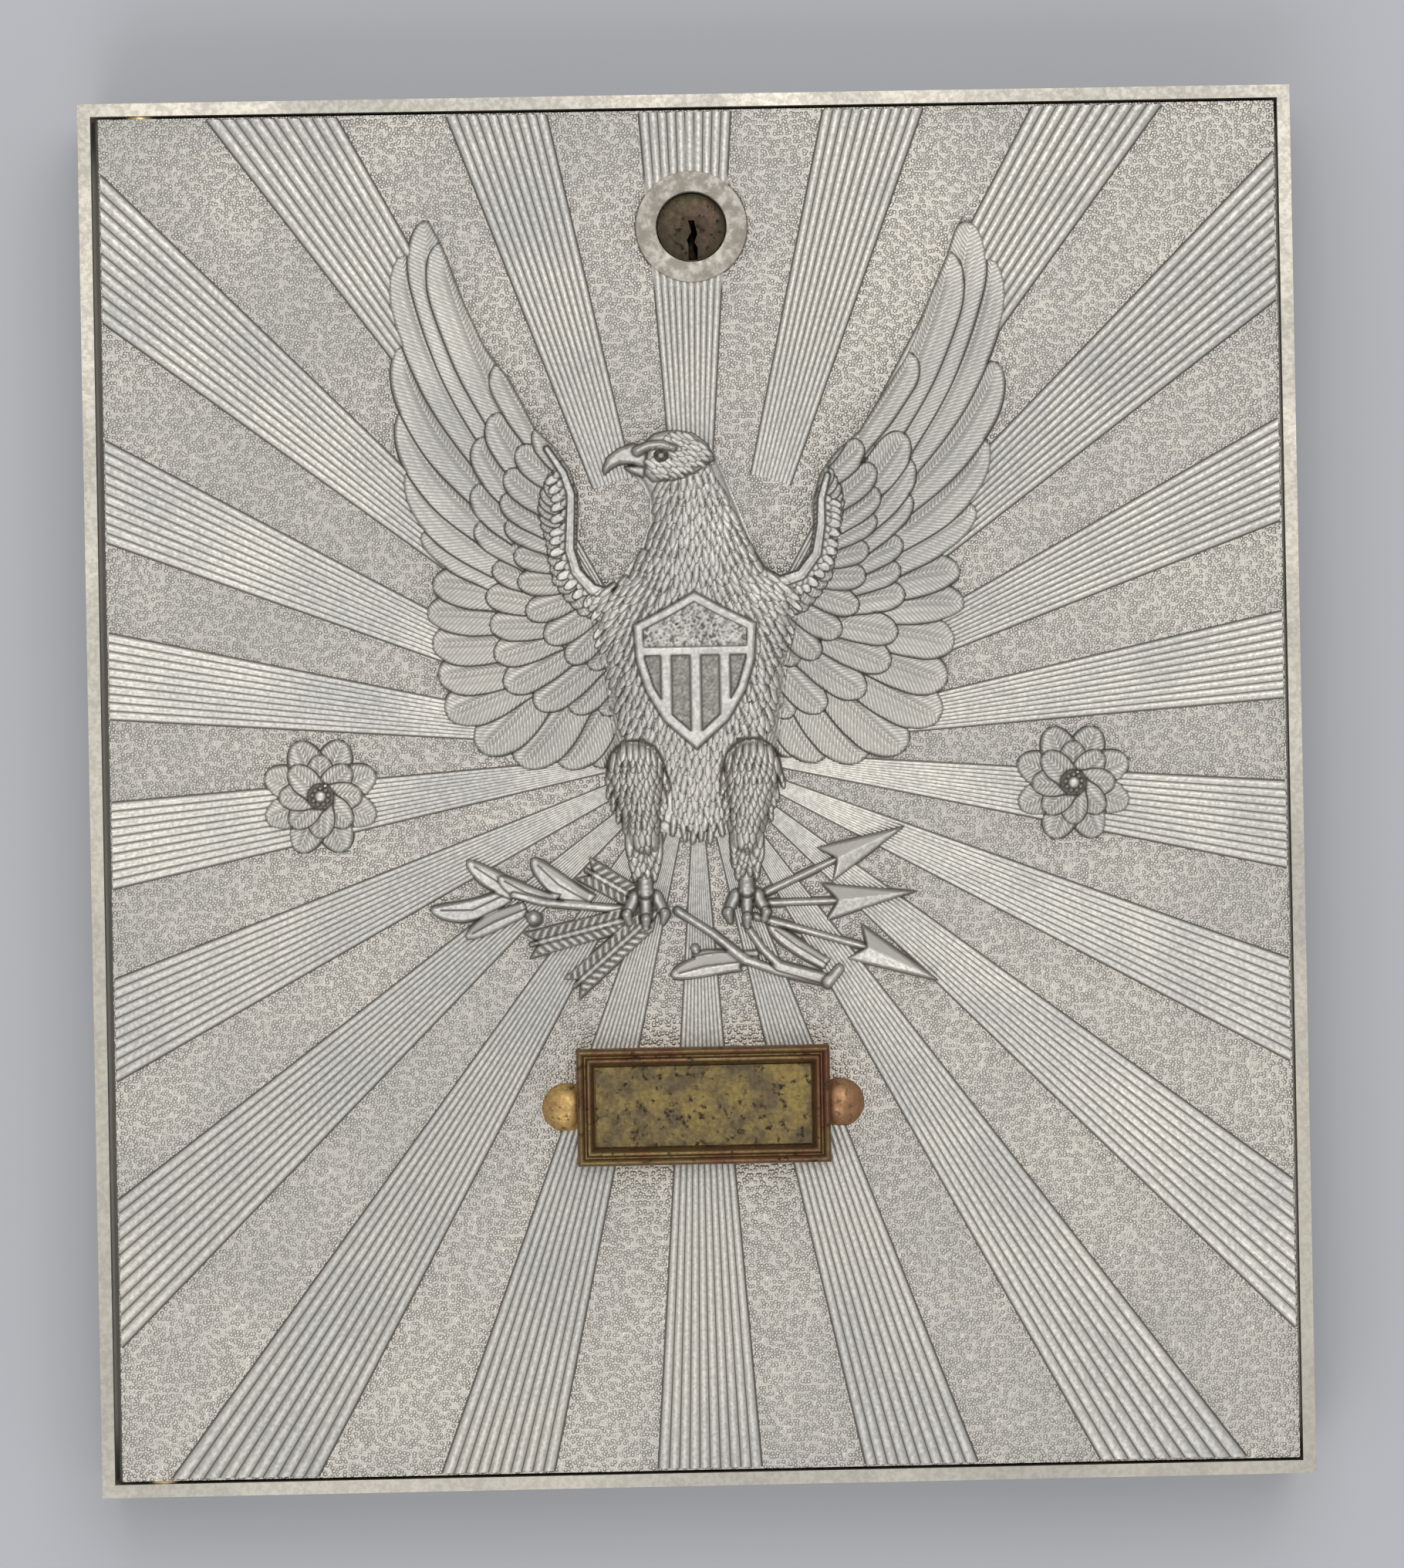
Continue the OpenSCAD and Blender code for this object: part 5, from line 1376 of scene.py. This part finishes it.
    def _bundle(self, relief: ReliefField) -> None:
        """Lays the branches and the three arrows that the talons hold.

        Args:
            relief: The grid that it is laid on.
        """
        relief.form[relief.window([(-50, -39), (50, -5)], 0.0)] = 0.9
        for tip, root, half, bow in self.leaves:
            relief.feather(tip, root, half, bow, rise=0.9, barbs=False, nose=3.2, lean=0.0)
            middle = ((tip[0] + root[0]) / 2, (tip[1] + root[1]) / 2)
            run = np.subtract(tip, root) / math.dist(tip, root)
            vein = (middle[0] - run[1] * bow, middle[1] + run[0] * bow)
            win = relief.window([tip, root], 1.5)
            gap, where = relief.path_distance(win, [tip, vein, root])
            # Each leaf's vein is cut and painted dark as dirt and shade, and its upper half is painted darker
            # as shade.
            line = smooth(0.35, 0.0, gap) * (where > 0.12)
            relief.height[win] -= 0.25 * line
            below = (relief.x[win] - root[0]) * run[1] - (relief.z[win] - root[1]) * run[0]
            half_shade = 0.5 * (gap < 0.84 * half) * (where > 0.08) * (where < 0.94) * (below * run[0] < 0)
            relief.groove[win] = np.maximum(relief.groove[win], np.maximum(line, half_shade))
        relief.cord([(-33.0, -18.2), (-28.0, -19.6), (-20.0, -20.4), (-11.0, -21.4)], (0.6, 1.0), (1.3, 1.7))
        relief.cord([(-29.6, -22.2), (-29.5, -22.3)], (1.6, 1.6), (1.8, 1.8))
        for path in ([(-4.0, -21.5), (2.0, -25.5), (8.0, -30.5), (14.0, -32.6), (22.0, -34.4)],
                     [(8.0, -24.0), (11.0, -28.5), (14.0, -31.6), (23.0, -34.2)]):
            relief.cord(path, (0.8, 1.1), (1.6, 1.7))
        relief.cord([(22.6, -34.8), (24.6, -32.4)], (1.2, 1.2), (1.8, 1.8))
        relief.cord([(-1.0, -28.2), (-0.9, -28.3)], (1.0, 1.0), (1.5, 1.5))
        for tail, grip, neck, tip in self.arrows:
            self._fletching(relief, tail)
            relief.cord([tail, self.binding], (0.45, 0.55), (1.5, 1.7))
            relief.cord([grip, neck], (0.85, 0.75), (1.7, 1.5))
            self._arrow_head(relief, neck, tip)

    @staticmethod
    def _axes(start: Point, end: Point) -> tuple[Array, Array, float]:
        """Directions along and across a line.

        Args:
            start: Where it starts.
            end: Where it ends.

        Returns:
            The unit vectors along it and to its left, and its length.
        """
        run = np.subtract(end, start)
        length = float(np.hypot(*run))
        along = run / length
        return along, np.array((-along[1], along[0])), length

    def _fletching(self, relief: ReliefField, tail: Point) -> None:
        """Lays an arrow's ribbed fletching.

        Args:
            relief: The grid that it is laid on.
            tail: End of the fletching.
        """
        along, across, length = self._axes(tail, self.binding)
        start = np.array(tail)
        wide, narrow = across * 2.4, across * 2.1
        shoulder = start + along * length * 0.86
        vane = [start + wide - along, start + along * 1.4, start - wide - along, shoulder - narrow,
                start + along * length, shoulder + narrow]
        outline = [tuple(corner) for corner in vane]
        win = relief.window(outline, 1.0)
        dx, dz = relief.x[win] - start[0], relief.z[win] - start[1]
        s = dx * along[0] + dz * along[1]
        t = dx * across[0] + dz * across[1]
        ribs = 0.3 * np.clip(np.sin((s - 0.7 * np.abs(t)) * 2 * math.pi / 1.5), -0.7, 0.7)
        relief.lay(win, relief.polygon_distance(win, outline), 1.3 + ribs, 0.3)
        # The troughs between the ribs are painted dark and the rest a little darker, as painted shade and
        # dirt.
        dirt_and_shade = np.where(ribs < -0.1, 0.8, 0.25) * (relief.polygon_distance(win, outline) > 0.3)
        relief.groove[win] = np.maximum(relief.groove[win], dirt_and_shade)

    def _arrow_head(self, relief: ReliefField, neck: Point, tip: Point) -> None:
        """Lays an arrow's head with its two faces, the upper one painted darker as shade.

        Args:
            relief: The grid that it is laid on.
            neck: Where the shaft meets the head.
            tip: Point of the head.
        """
        along, across, _ = self._axes(neck, tip)
        back = np.array(neck) - along * 2.6
        head = [tip, tuple(back + across * 3.5), neck, tuple(back - across * 3.5)]
        nx, nz = neck

        def facets(x: Array, z: Array) -> Array:
            """Height of the two faces."""
            off = (x - nx) * across[0] + (z - nz) * across[1]
            return 2.1 - 0.42 * np.abs(off)

        relief.plate(head, facets, 0.3)
        win = relief.window(head, 1.0)
        off = (relief.x[win] - nx) * across[0] + (relief.z[win] - nz) * across[1]
        # The upper face is painted darker as shade.
        upper = (relief.polygon_distance(win, head) > 0) & (off > 0)
        relief.groove[win] = np.where(upper, np.maximum(relief.groove[win], 0.5), relief.groove[win])


@dataclass
class Rosettes:
    """The two rosettes at the sides: petals set round a domed eye."""

    centre_x: float = 67.0
    radius: float = 11.0
    petals: int = 8
    beads: int = 9

    def build(self, finishes: Finishes) -> bpy.types.Object:
        """Models both rosettes.

        Args:
            finishes: The materials.

        Returns:
            The piece.
        """
        made = []
        for side in (-1, 1):
            middle = side * self.centre_x
            half = self.radius + 1.5
            relief = ReliefField(middle - half, middle + half, -half, half)
            relief.form[:] = 0.45
            layers = ((self.radius - 0.3, 3.3, 0.5), (self.radius * 0.68, 2.5, 0.0))
            for layer, (reach, wide, turn) in enumerate(layers):
                for k in range(self.petals):
                    angle = 2 * math.pi * (k + turn) / self.petals
                    out = (math.sin(angle), math.cos(angle))
                    tip = (middle + out[0] * reach, out[1] * reach)
                    relief.feather(tip, (middle + out[0], out[1]), wide, rise=0.75 + 0.35 * layer, lean=0.0,
                                   nose=1.5)
            relief.cord([(middle, 0.0), (middle + 0.01, 0.0)], (2.3, 2.3), (2.1, 2.1))
            for k in range(self.beads):
                angle = 2 * math.pi * k / self.beads
                spot = (middle + 1.45 * math.sin(angle), 1.45 * math.cos(angle))
                relief.cord([spot, (spot[0] + 0.01, spot[1])], (0.42, 0.42), (2.3, 2.3), cut=0.2)
            relief.soften()
            everything = np.ones((relief.x.shape[0] - 1, relief.x.shape[1] - 1), bool)
            made.append(relief.mesh("rosette", everything))
        form = bmesh.new()
        for mesh in made:
            form.from_mesh(mesh)
            bpy.data.meshes.remove(mesh)
        joined = bpy.data.meshes.new("rosettes")
        form.to_mesh(joined)
        form.free()
        return finish_mesh(new_object("rosettes", joined, finishes["carved_relief"]), 62.0)


# ---------------------------------------------------------------- sunburst


@dataclass
class Sunburst:
    """The reeded rays that run from behind the eagle to the leaf's edges, made by Geometry Nodes.

    Sizes are in millimetres. Each ray is a grid: its first and last columns and rows lie in the leaf, the
    next ones form a flat kerb beside it, and the others carry the ribs. The slope is the ribs' height per
    millimetre of radius, and the groove the share of it that is left between two ribs.
    """

    rays: int = 22
    ribs: int = 10
    share: float = 0.5
    centre_up: float = 7.0
    inner: float = 13.0
    neck_reach: float = 50.0
    upright_from: float = 0.87
    left: float = 104.1
    right: float = 104.8
    top: float = 120.6
    slope: float = 0.0048
    groove: float = 0.30
    roundness: float = 0.75
    steps: int = 8
    rows: int = 9
    kerb_width: float = 0.28
    kerb_height: float = 0.03
    let_in: float = 0.6
    underside: float = 0.57

    def build(self, finishes: Finishes) -> bpy.types.Object:
        """Runs the tree and keeps its result.

        Args:
            finishes: The materials.

        Returns:
            The piece.
        """
        piece = new_object("sunburst", bpy.data.meshes.new("sunburst"))
        tree, sockets = self._tree(finishes["carved_relief"])
        modifier = piece.modifiers.new("rays", "NODES")
        modifier.node_group = tree
        values = {"Rays": self.rays, "Ribs": float(self.ribs), "Centre height": self.centre_up,
                  "Inner radius": self.inner, "Slope": self.slope}
        for name, value in values.items():
            modifier[sockets[name]] = value
        finish_mesh(piece, 50.0)
        bpy.data.node_groups.remove(tree)
        return piece

    def _tree(self, material: bpy.types.Material) -> tuple[bpy.types.NodeTree, dict[str, str]]:
        """Builds the tree of the rays.

        Args:
            material: Finish of the rays.

        Returns:
            The tree, and the identifier of each named input.
        """
        tree = bpy.data.node_groups.new("reeded_rays", "GeometryNodeTree")
        floats = {name: "NodeSocketFloat" for name in ("Ribs", "Centre height", "Inner radius", "Slope")}
        sockets = named_inputs(tree, {"Rays": "NodeSocketInt", **floats})
        graph = Graph(tree)
        given = graph.node("NodeGroupInput").outputs
        columns = self.ribs * self.steps + 5
        last_column, last_row = float(columns - 1), float(self.rows - 1)
        grid = graph.out("GeometryNodeMeshGrid", {
            "Size X": last_column, "Size Y": last_row, "Vertices X": columns, "Vertices Y": self.rows})
        spots = graph.out("GeometryNodeMeshLine", {"Count": given["Rays"], "Offset": (0.0, 0.0, 0.0)})
        copies = graph.out("GeometryNodeInstanceOnPoints", {"Points": spots, "Instance": grid})
        numbers = {"Geometry": copies, "Name": "ray", "Value": graph.out("GeometryNodeInputIndex")}
        numbered = graph.out("GeometryNodeStoreNamedAttribute", numbers, data_type="FLOAT", domain="INSTANCE")
        real = graph.out("GeometryNodeRealizeInstances", {0: numbered})
        ray = graph.out("GeometryNodeInputNamedAttribute", {"Name": "ray"}, data_type="FLOAT")
        place = graph.node("ShaderNodeSeparateXYZ", {0: graph.out("GeometryNodeInputPosition")})
        column = graph.plus(place.outputs["X"], last_column / 2)
        row = graph.plus(place.outputs["Y"], last_row / 2)
        # Place across and along the ray, from 0 to 1.
        u = graph.over(graph.minus(column, 2.0), last_column - 4.0, clamp=True)
        v = graph.over(graph.minus(row, 1.0), last_row - 2.0, clamp=True)
        from_side = graph.smaller(column, graph.minus(last_column, column))
        from_end = graph.smaller(row, graph.minus(last_row, row))
        kerb = graph.math("LESS_THAN", from_side, 1.5)
        buried = graph.larger(graph.math("LESS_THAN", from_side, 0.5), graph.math("LESS_THAN", from_end, 0.5))
        off_middle = graph.minus(u, 0.5)
        # The ray's direction, and how far the leaf reaches in it.
        pitch = graph.over(2 * math.pi, given["Rays"])
        turn = graph.times(graph.plus(ray, graph.times(off_middle, self.share)), pitch)
        sine, cosine = graph.math("SINE", turn), graph.math("COSINE", turn)
        to_right = graph.math("GREATER_THAN", sine, 0.0)
        wide = graph.plus(graph.times(to_right, self.right - self.left), self.left)
        to_side = graph.over(wide, graph.larger(graph.math("ABSOLUTE", sine), 1e-4))
        tall = graph.minus(self.top, graph.times(graph.math("SIGN", cosine), given["Centre height"]))
        to_end = graph.over(tall, graph.larger(graph.math("ABSOLUTE", cosine), 1e-4))
        reach = graph.smaller(to_side, to_end)
        leaning = graph.math("COSINE", graph.times(ray, pitch))
        upright = graph.math("GREATER_THAN", leaning, self.upright_from)
        inner = graph.plus(given["Inner radius"], graph.times(upright, self.neck_reach - self.inner))
        radius = graph.plus(inner, graph.times(v, graph.minus(reach, inner)))
        # The ribs' height, which grows outwards and fades at the inner end.
        phase = graph.times(graph.times(u, given["Ribs"]), math.pi)
        wave = graph.math("ABSOLUTE", graph.math("SINE", phase))
        rounded = graph.math("POWER", wave, self.roundness)
        crest = graph.plus(self.groove, graph.times(rounded, 1 - self.groove))
        height = graph.times(graph.times(radius, given["Slope"]), crest)
        height = graph.times(height, graph.ramp(v, -0.02, 0.12, 0.1, 1.0))
        height = graph.times(height, graph.minus(1.0, kerb))
        height = graph.plus(height, graph.times(kerb, self.kerb_height))
        height = graph.minus(height, graph.times(buried, self.let_in))
        sideways = graph.times(graph.times(kerb, graph.math("SIGN", off_middle)), self.kerb_width)
        x = graph.plus(graph.times(radius, sine), graph.times(sideways, cosine))
        z = graph.minus(graph.times(radius, cosine), graph.times(sideways, sine))
        z = graph.plus(z, given["Centre height"])
        across, up = graph.times(x, MM), graph.plus(graph.times(z, MM), MIDDLE_Z)
        face = graph.minus(GROUND_Y, graph.times(height, MM))
        spot = graph.out("ShaderNodeCombineXYZ", {"X": across, "Y": face, "Z": up})
        inside = graph.out("ShaderNodeCombineXYZ", {
            "X": across, "Y": GROUND_Y + self.underside * MM, "Z": up})
        # The kerb along each ray's edge is painted fully dark as the shade and dirt line there, and the
        # grooves between the ribs are painted darker as dirt and shade.
        dirt_and_shade = graph.larger(kerb, graph.times(graph.ramp(wave, 0.55, 0.0), 0.75))
        grooves = {"Geometry": real, "Name": "groove", "Value": dirt_and_shade}
        marked = graph.out("GeometryNodeStoreNamedAttribute", grooves, data_type="FLOAT", domain="POINT")
        top = graph.out("GeometryNodeSetPosition", {"Geometry": marked, "Position": spot})
        back = graph.out("GeometryNodeSetPosition", {"Geometry": marked, "Position": inside})
        back = graph.out("GeometryNodeFlipFaces", {0: back})
        both = graph.node("GeometryNodeJoinGeometry")
        graph.link(top, both.inputs[0])
        graph.link(back, both.inputs[0])
        welded = graph.out("GeometryNodeMergeByDistance", {"Geometry": both.outputs[0], "Distance": 2e-6})
        cut = self._clear_lock(graph, welded)
        dressed = graph.out("GeometryNodeSetMaterial", {"Geometry": cut, "Material": material})
        final = graph.out("GeometryNodeRealizeInstances", {0: dressed})
        graph.link(final, graph.node("NodeGroupOutput").inputs[0])
        return tree, sockets

    @staticmethod
    def _clear_lock(graph: Graph, geometry: Socket) -> Socket:
        """Cuts the rays off at the ring round the lock.

        Args:
            graph: Where the nodes go.
            geometry: The rays, as closed meshes.

        Returns:
            The rays without what would stand inside the ring.
        """
        size = {"Vertices": 96, "Radius": RING_R * MM, "Depth": 6 * MM}
        drum = graph.out("GeometryNodeMeshCylinder", size)
        placed = graph.out("GeometryNodeTransform", {
            "Geometry": drum, "Translation": face_point(LOCK_X, LOCK_Z),
            "Rotation": (math.pi / 2, 0.0, 0.0)})
        cut = graph.node("GeometryNodeMeshBoolean", operation="DIFFERENCE", solver="EXACT")
        graph.link(geometry, cut.inputs[0])
        graph.link(placed, cut.inputs[1])
        return cut.outputs[0]


# ---------------------------------------------------------------- studio


@dataclass
class Studio:
    """A plain pale surface behind the door, soft light, and the camera.

    Sizes are in metres and the camera's turn in degrees. Each lamp has a name, a place, a side and a power
    in watts.
    """

    pale: tuple[float, float, float] = (0.37, 0.375, 0.395)
    sky: tuple[float, float, float] = (0.97, 0.98, 1.0)
    sky_strength: float = 0.78
    lamps: tuple[tuple[str, Place, float, float], ...] = (
        ("key", (-0.22, -0.95, -0.60), 0.7, 4.6),
        ("fill", (0.10, -1.2, 0.66), 0.9, 8.0),
    )
    surface_half: float = 2.2
    surface_gap: float = 0.00005
    box_depth: float = 0.06
    focal_px: float = 7285.6
    frame_px: tuple[int, int] = (1820, 2032)
    sensor_mm: float = 36.0
    camera_at: Place = (-0.0176, -1.012, 0.1197)
    camera_turn: Place = (90.29, 1.09, -1.05)

    def build(self) -> None:
        """Sets the surface, the light and the camera."""
        self._surface()
        self._world()
        for lamp in self.lamps:
            self._lamp(*lamp)
        self._camera()

    def _surface(self) -> None:
        """The pale surface that the door's rear edges lie on; it isn't seen from its own back."""
        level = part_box("frame")[1][1] + self.surface_gap
        corners = ((-1, -1), (1, -1), (1, 1), (-1, 1))
        verts = [(x * self.surface_half, level, z * self.surface_half) for x, z in corners]
        mesh = bpy.data.meshes.new("floor")
        mesh.from_pydata(verts, [], [(0, 1, 2, 3)])
        new_object("floor", mesh, self._pale())

    def _pale(self) -> bpy.types.Material:
        """Makes the surface's material, which light that starts within the door's own depth passes through.

        Returns:
            The material.
        """
        material = bpy.data.materials.new("pale_surface")
        material.use_nodes = True
        material.node_tree.nodes.clear()
        graph = Graph(material.node_tree)
        cloth = graph.out("ShaderNodeBsdfDiffuse", {"Color": (*self.pale, 1.0)})
        clear = graph.out("ShaderNodeBsdfTransparent")
        path = graph.node("ShaderNodeLightPath").outputs
        far = graph.math("GREATER_THAN", path["Ray Length"], self.box_depth)
        front = graph.minus(1.0, graph.node("ShaderNodeNewGeometry").outputs["Backfacing"])
        shown = graph.times(graph.larger(path["Is Camera Ray"], far), front)
        mix = graph.out("ShaderNodeMixShader", {0: shown, 1: clear, 2: cloth})
        graph.link(mix, graph.node("ShaderNodeOutputMaterial").inputs["Surface"])
        return material

    def _world(self) -> None:
        """An even pale surround."""
        world = bpy.data.worlds.new("studio")
        bpy.context.scene.world = world
        world.use_nodes = True
        world.node_tree.nodes.clear()
        graph = Graph(world.node_tree)
        values = {"Color": (*self.sky, 1.0), "Strength": self.sky_strength}
        light = graph.out("ShaderNodeBackground", values)
        graph.link(light, graph.node("ShaderNodeOutputWorld").inputs["Surface"])

    @staticmethod
    def _lamp(name: str, place: Place, size: float, power: float) -> None:
        """Sets one soft square lamp aimed at the door.

        Args:
            name: Its name.
            place: Where it stands.
            size: Its side.
            power: Its power in watts.
        """
        lamp = bpy.data.lights.new(name, "AREA")
        lamp.size = size
        lamp.energy = power
        made = bpy.data.objects.new(name, lamp)
        made.location = place
        aim = Vector((0.0, 0.0, MIDDLE_Z)) - Vector(place)
        made.rotation_euler = aim.to_track_quat("-Z", "Y").to_euler()
        bpy.context.scene.collection.objects.link(made)

    def _camera(self) -> None:
        """Sets the camera in front of the door."""
        lens = bpy.data.cameras.new("camera")
        lens.sensor_width = self.sensor_mm
        lens.lens = self.focal_px * self.sensor_mm / max(self.frame_px)
        lens.clip_start, lens.clip_end = 0.05, 20.0
        camera = bpy.data.objects.new("camera", lens)
        camera.location = self.camera_at
        camera.rotation_euler = Euler([math.radians(turn) for turn in self.camera_turn], "XYZ")
        bpy.context.scene.collection.objects.link(camera)
        bpy.context.scene.camera = camera
        bpy.context.scene.view_settings.view_transform = "Standard"


# ---------------------------------------------------------------- the door


@dataclass
class BoxDoor:
    """The whole door, built part by part round the CAD frame."""

    frame: dict[str, Any]
    finishes: Finishes = field(default_factory=Finishes)
    copies: tuple[CastingCopy, ...] = (
        CastingCopy("frame", "frame_casting", "frame", "frame_metal", "frame_casting", 0.2, 3),
        CastingCopy("door_leaf", "leaf_casting", "door", "leaf_metal", "stippled_leaf", 0.15, 2),
        CastingCopy("plate_back", "plate_with_ears", "door", "plate_brass", "golden_brass", 0.12, 2),
        CastingCopy("plate_holder", "plate_moulding", "door", "dark_brass", "dark_moulding", 0.28, 3),
        CastingCopy("number_panel", "blank_panel", "door", "panel_brass", "olive_panel", 0.1, 2),
        CastingCopy("lock_plug", "plug_with_keyway", "plug", "plug_brass", "tarnished_plug", 0.12, 2),
        CastingCopy("lock_case", "bolt_case", "door", "case_metal", "case_casting", 0.3, 2),
        CastingCopy("case_cover", "bolt_case_cover", "door", "case_metal", "case_casting", 0.2, 2),
        CastingCopy("sliding_bolt", "brass_bolt", "bolt", "lock_brass", "machined_brass", 0.2, 2),
    )
    screws: tuple[SlottedScrews, ...] = (
        SlottedScrews("cover_screws", "cover_screw_set"),
        SlottedScrews("lock_screws", "lock_screw_set", seed=8),
    )
    plain: tuple[tuple[str, tuple[str, ...]], ...] = (
        ("plain_steel", ("hinge_pin_upper", "hinge_pin_lower", "driver_pins", "driver_springs", "cam_disc",
                         "cam_screw", "crank_pin")),
        ("machined_brass", ("hinge_washers", "stud_nuts", "chamber_strip", "key_pins")),
        ("tarnished_plug", ("cylinder_shell",)),
    )

    def build(self) -> None:
        """Builds and dresses every piece."""
        for part in (*self.copies, *self.screws):
            self._report(part.build(self.frame, self.finishes))
        relief = [(piece, "eagle_relief") for piece in Eagle().build(self.finishes)]
        relief.append((Rosettes().build(self.finishes), "side_rosettes"))
        relief.append((Sunburst().build(self.finishes), "sunburst_rays"))
        for piece, node in relief:
            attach(piece, "door")
            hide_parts(node)
            self._report(piece)
        for finish, nodes in self.plain:
            for node in nodes:
                mesh = self.frame["nodes"][node].data
                mesh.materials.clear()
                mesh.materials.append(self.finishes[finish])
                LOG.info("%s: CAD part in %s", node, finish)

    @staticmethod
    def _report(piece: bpy.types.Object) -> None:
        """Logs one finished piece."""
        LOG.info("%s: %d faces", piece.name, len(piece.data.polygons))


def main() -> None:
    """Builds the door and its studio."""
    logging.basicConfig(level=logging.INFO, format="%(message)s")
    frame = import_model()
    Studio().build()
    BoxDoor(frame).build()


if __name__ == "__main__":
    main()
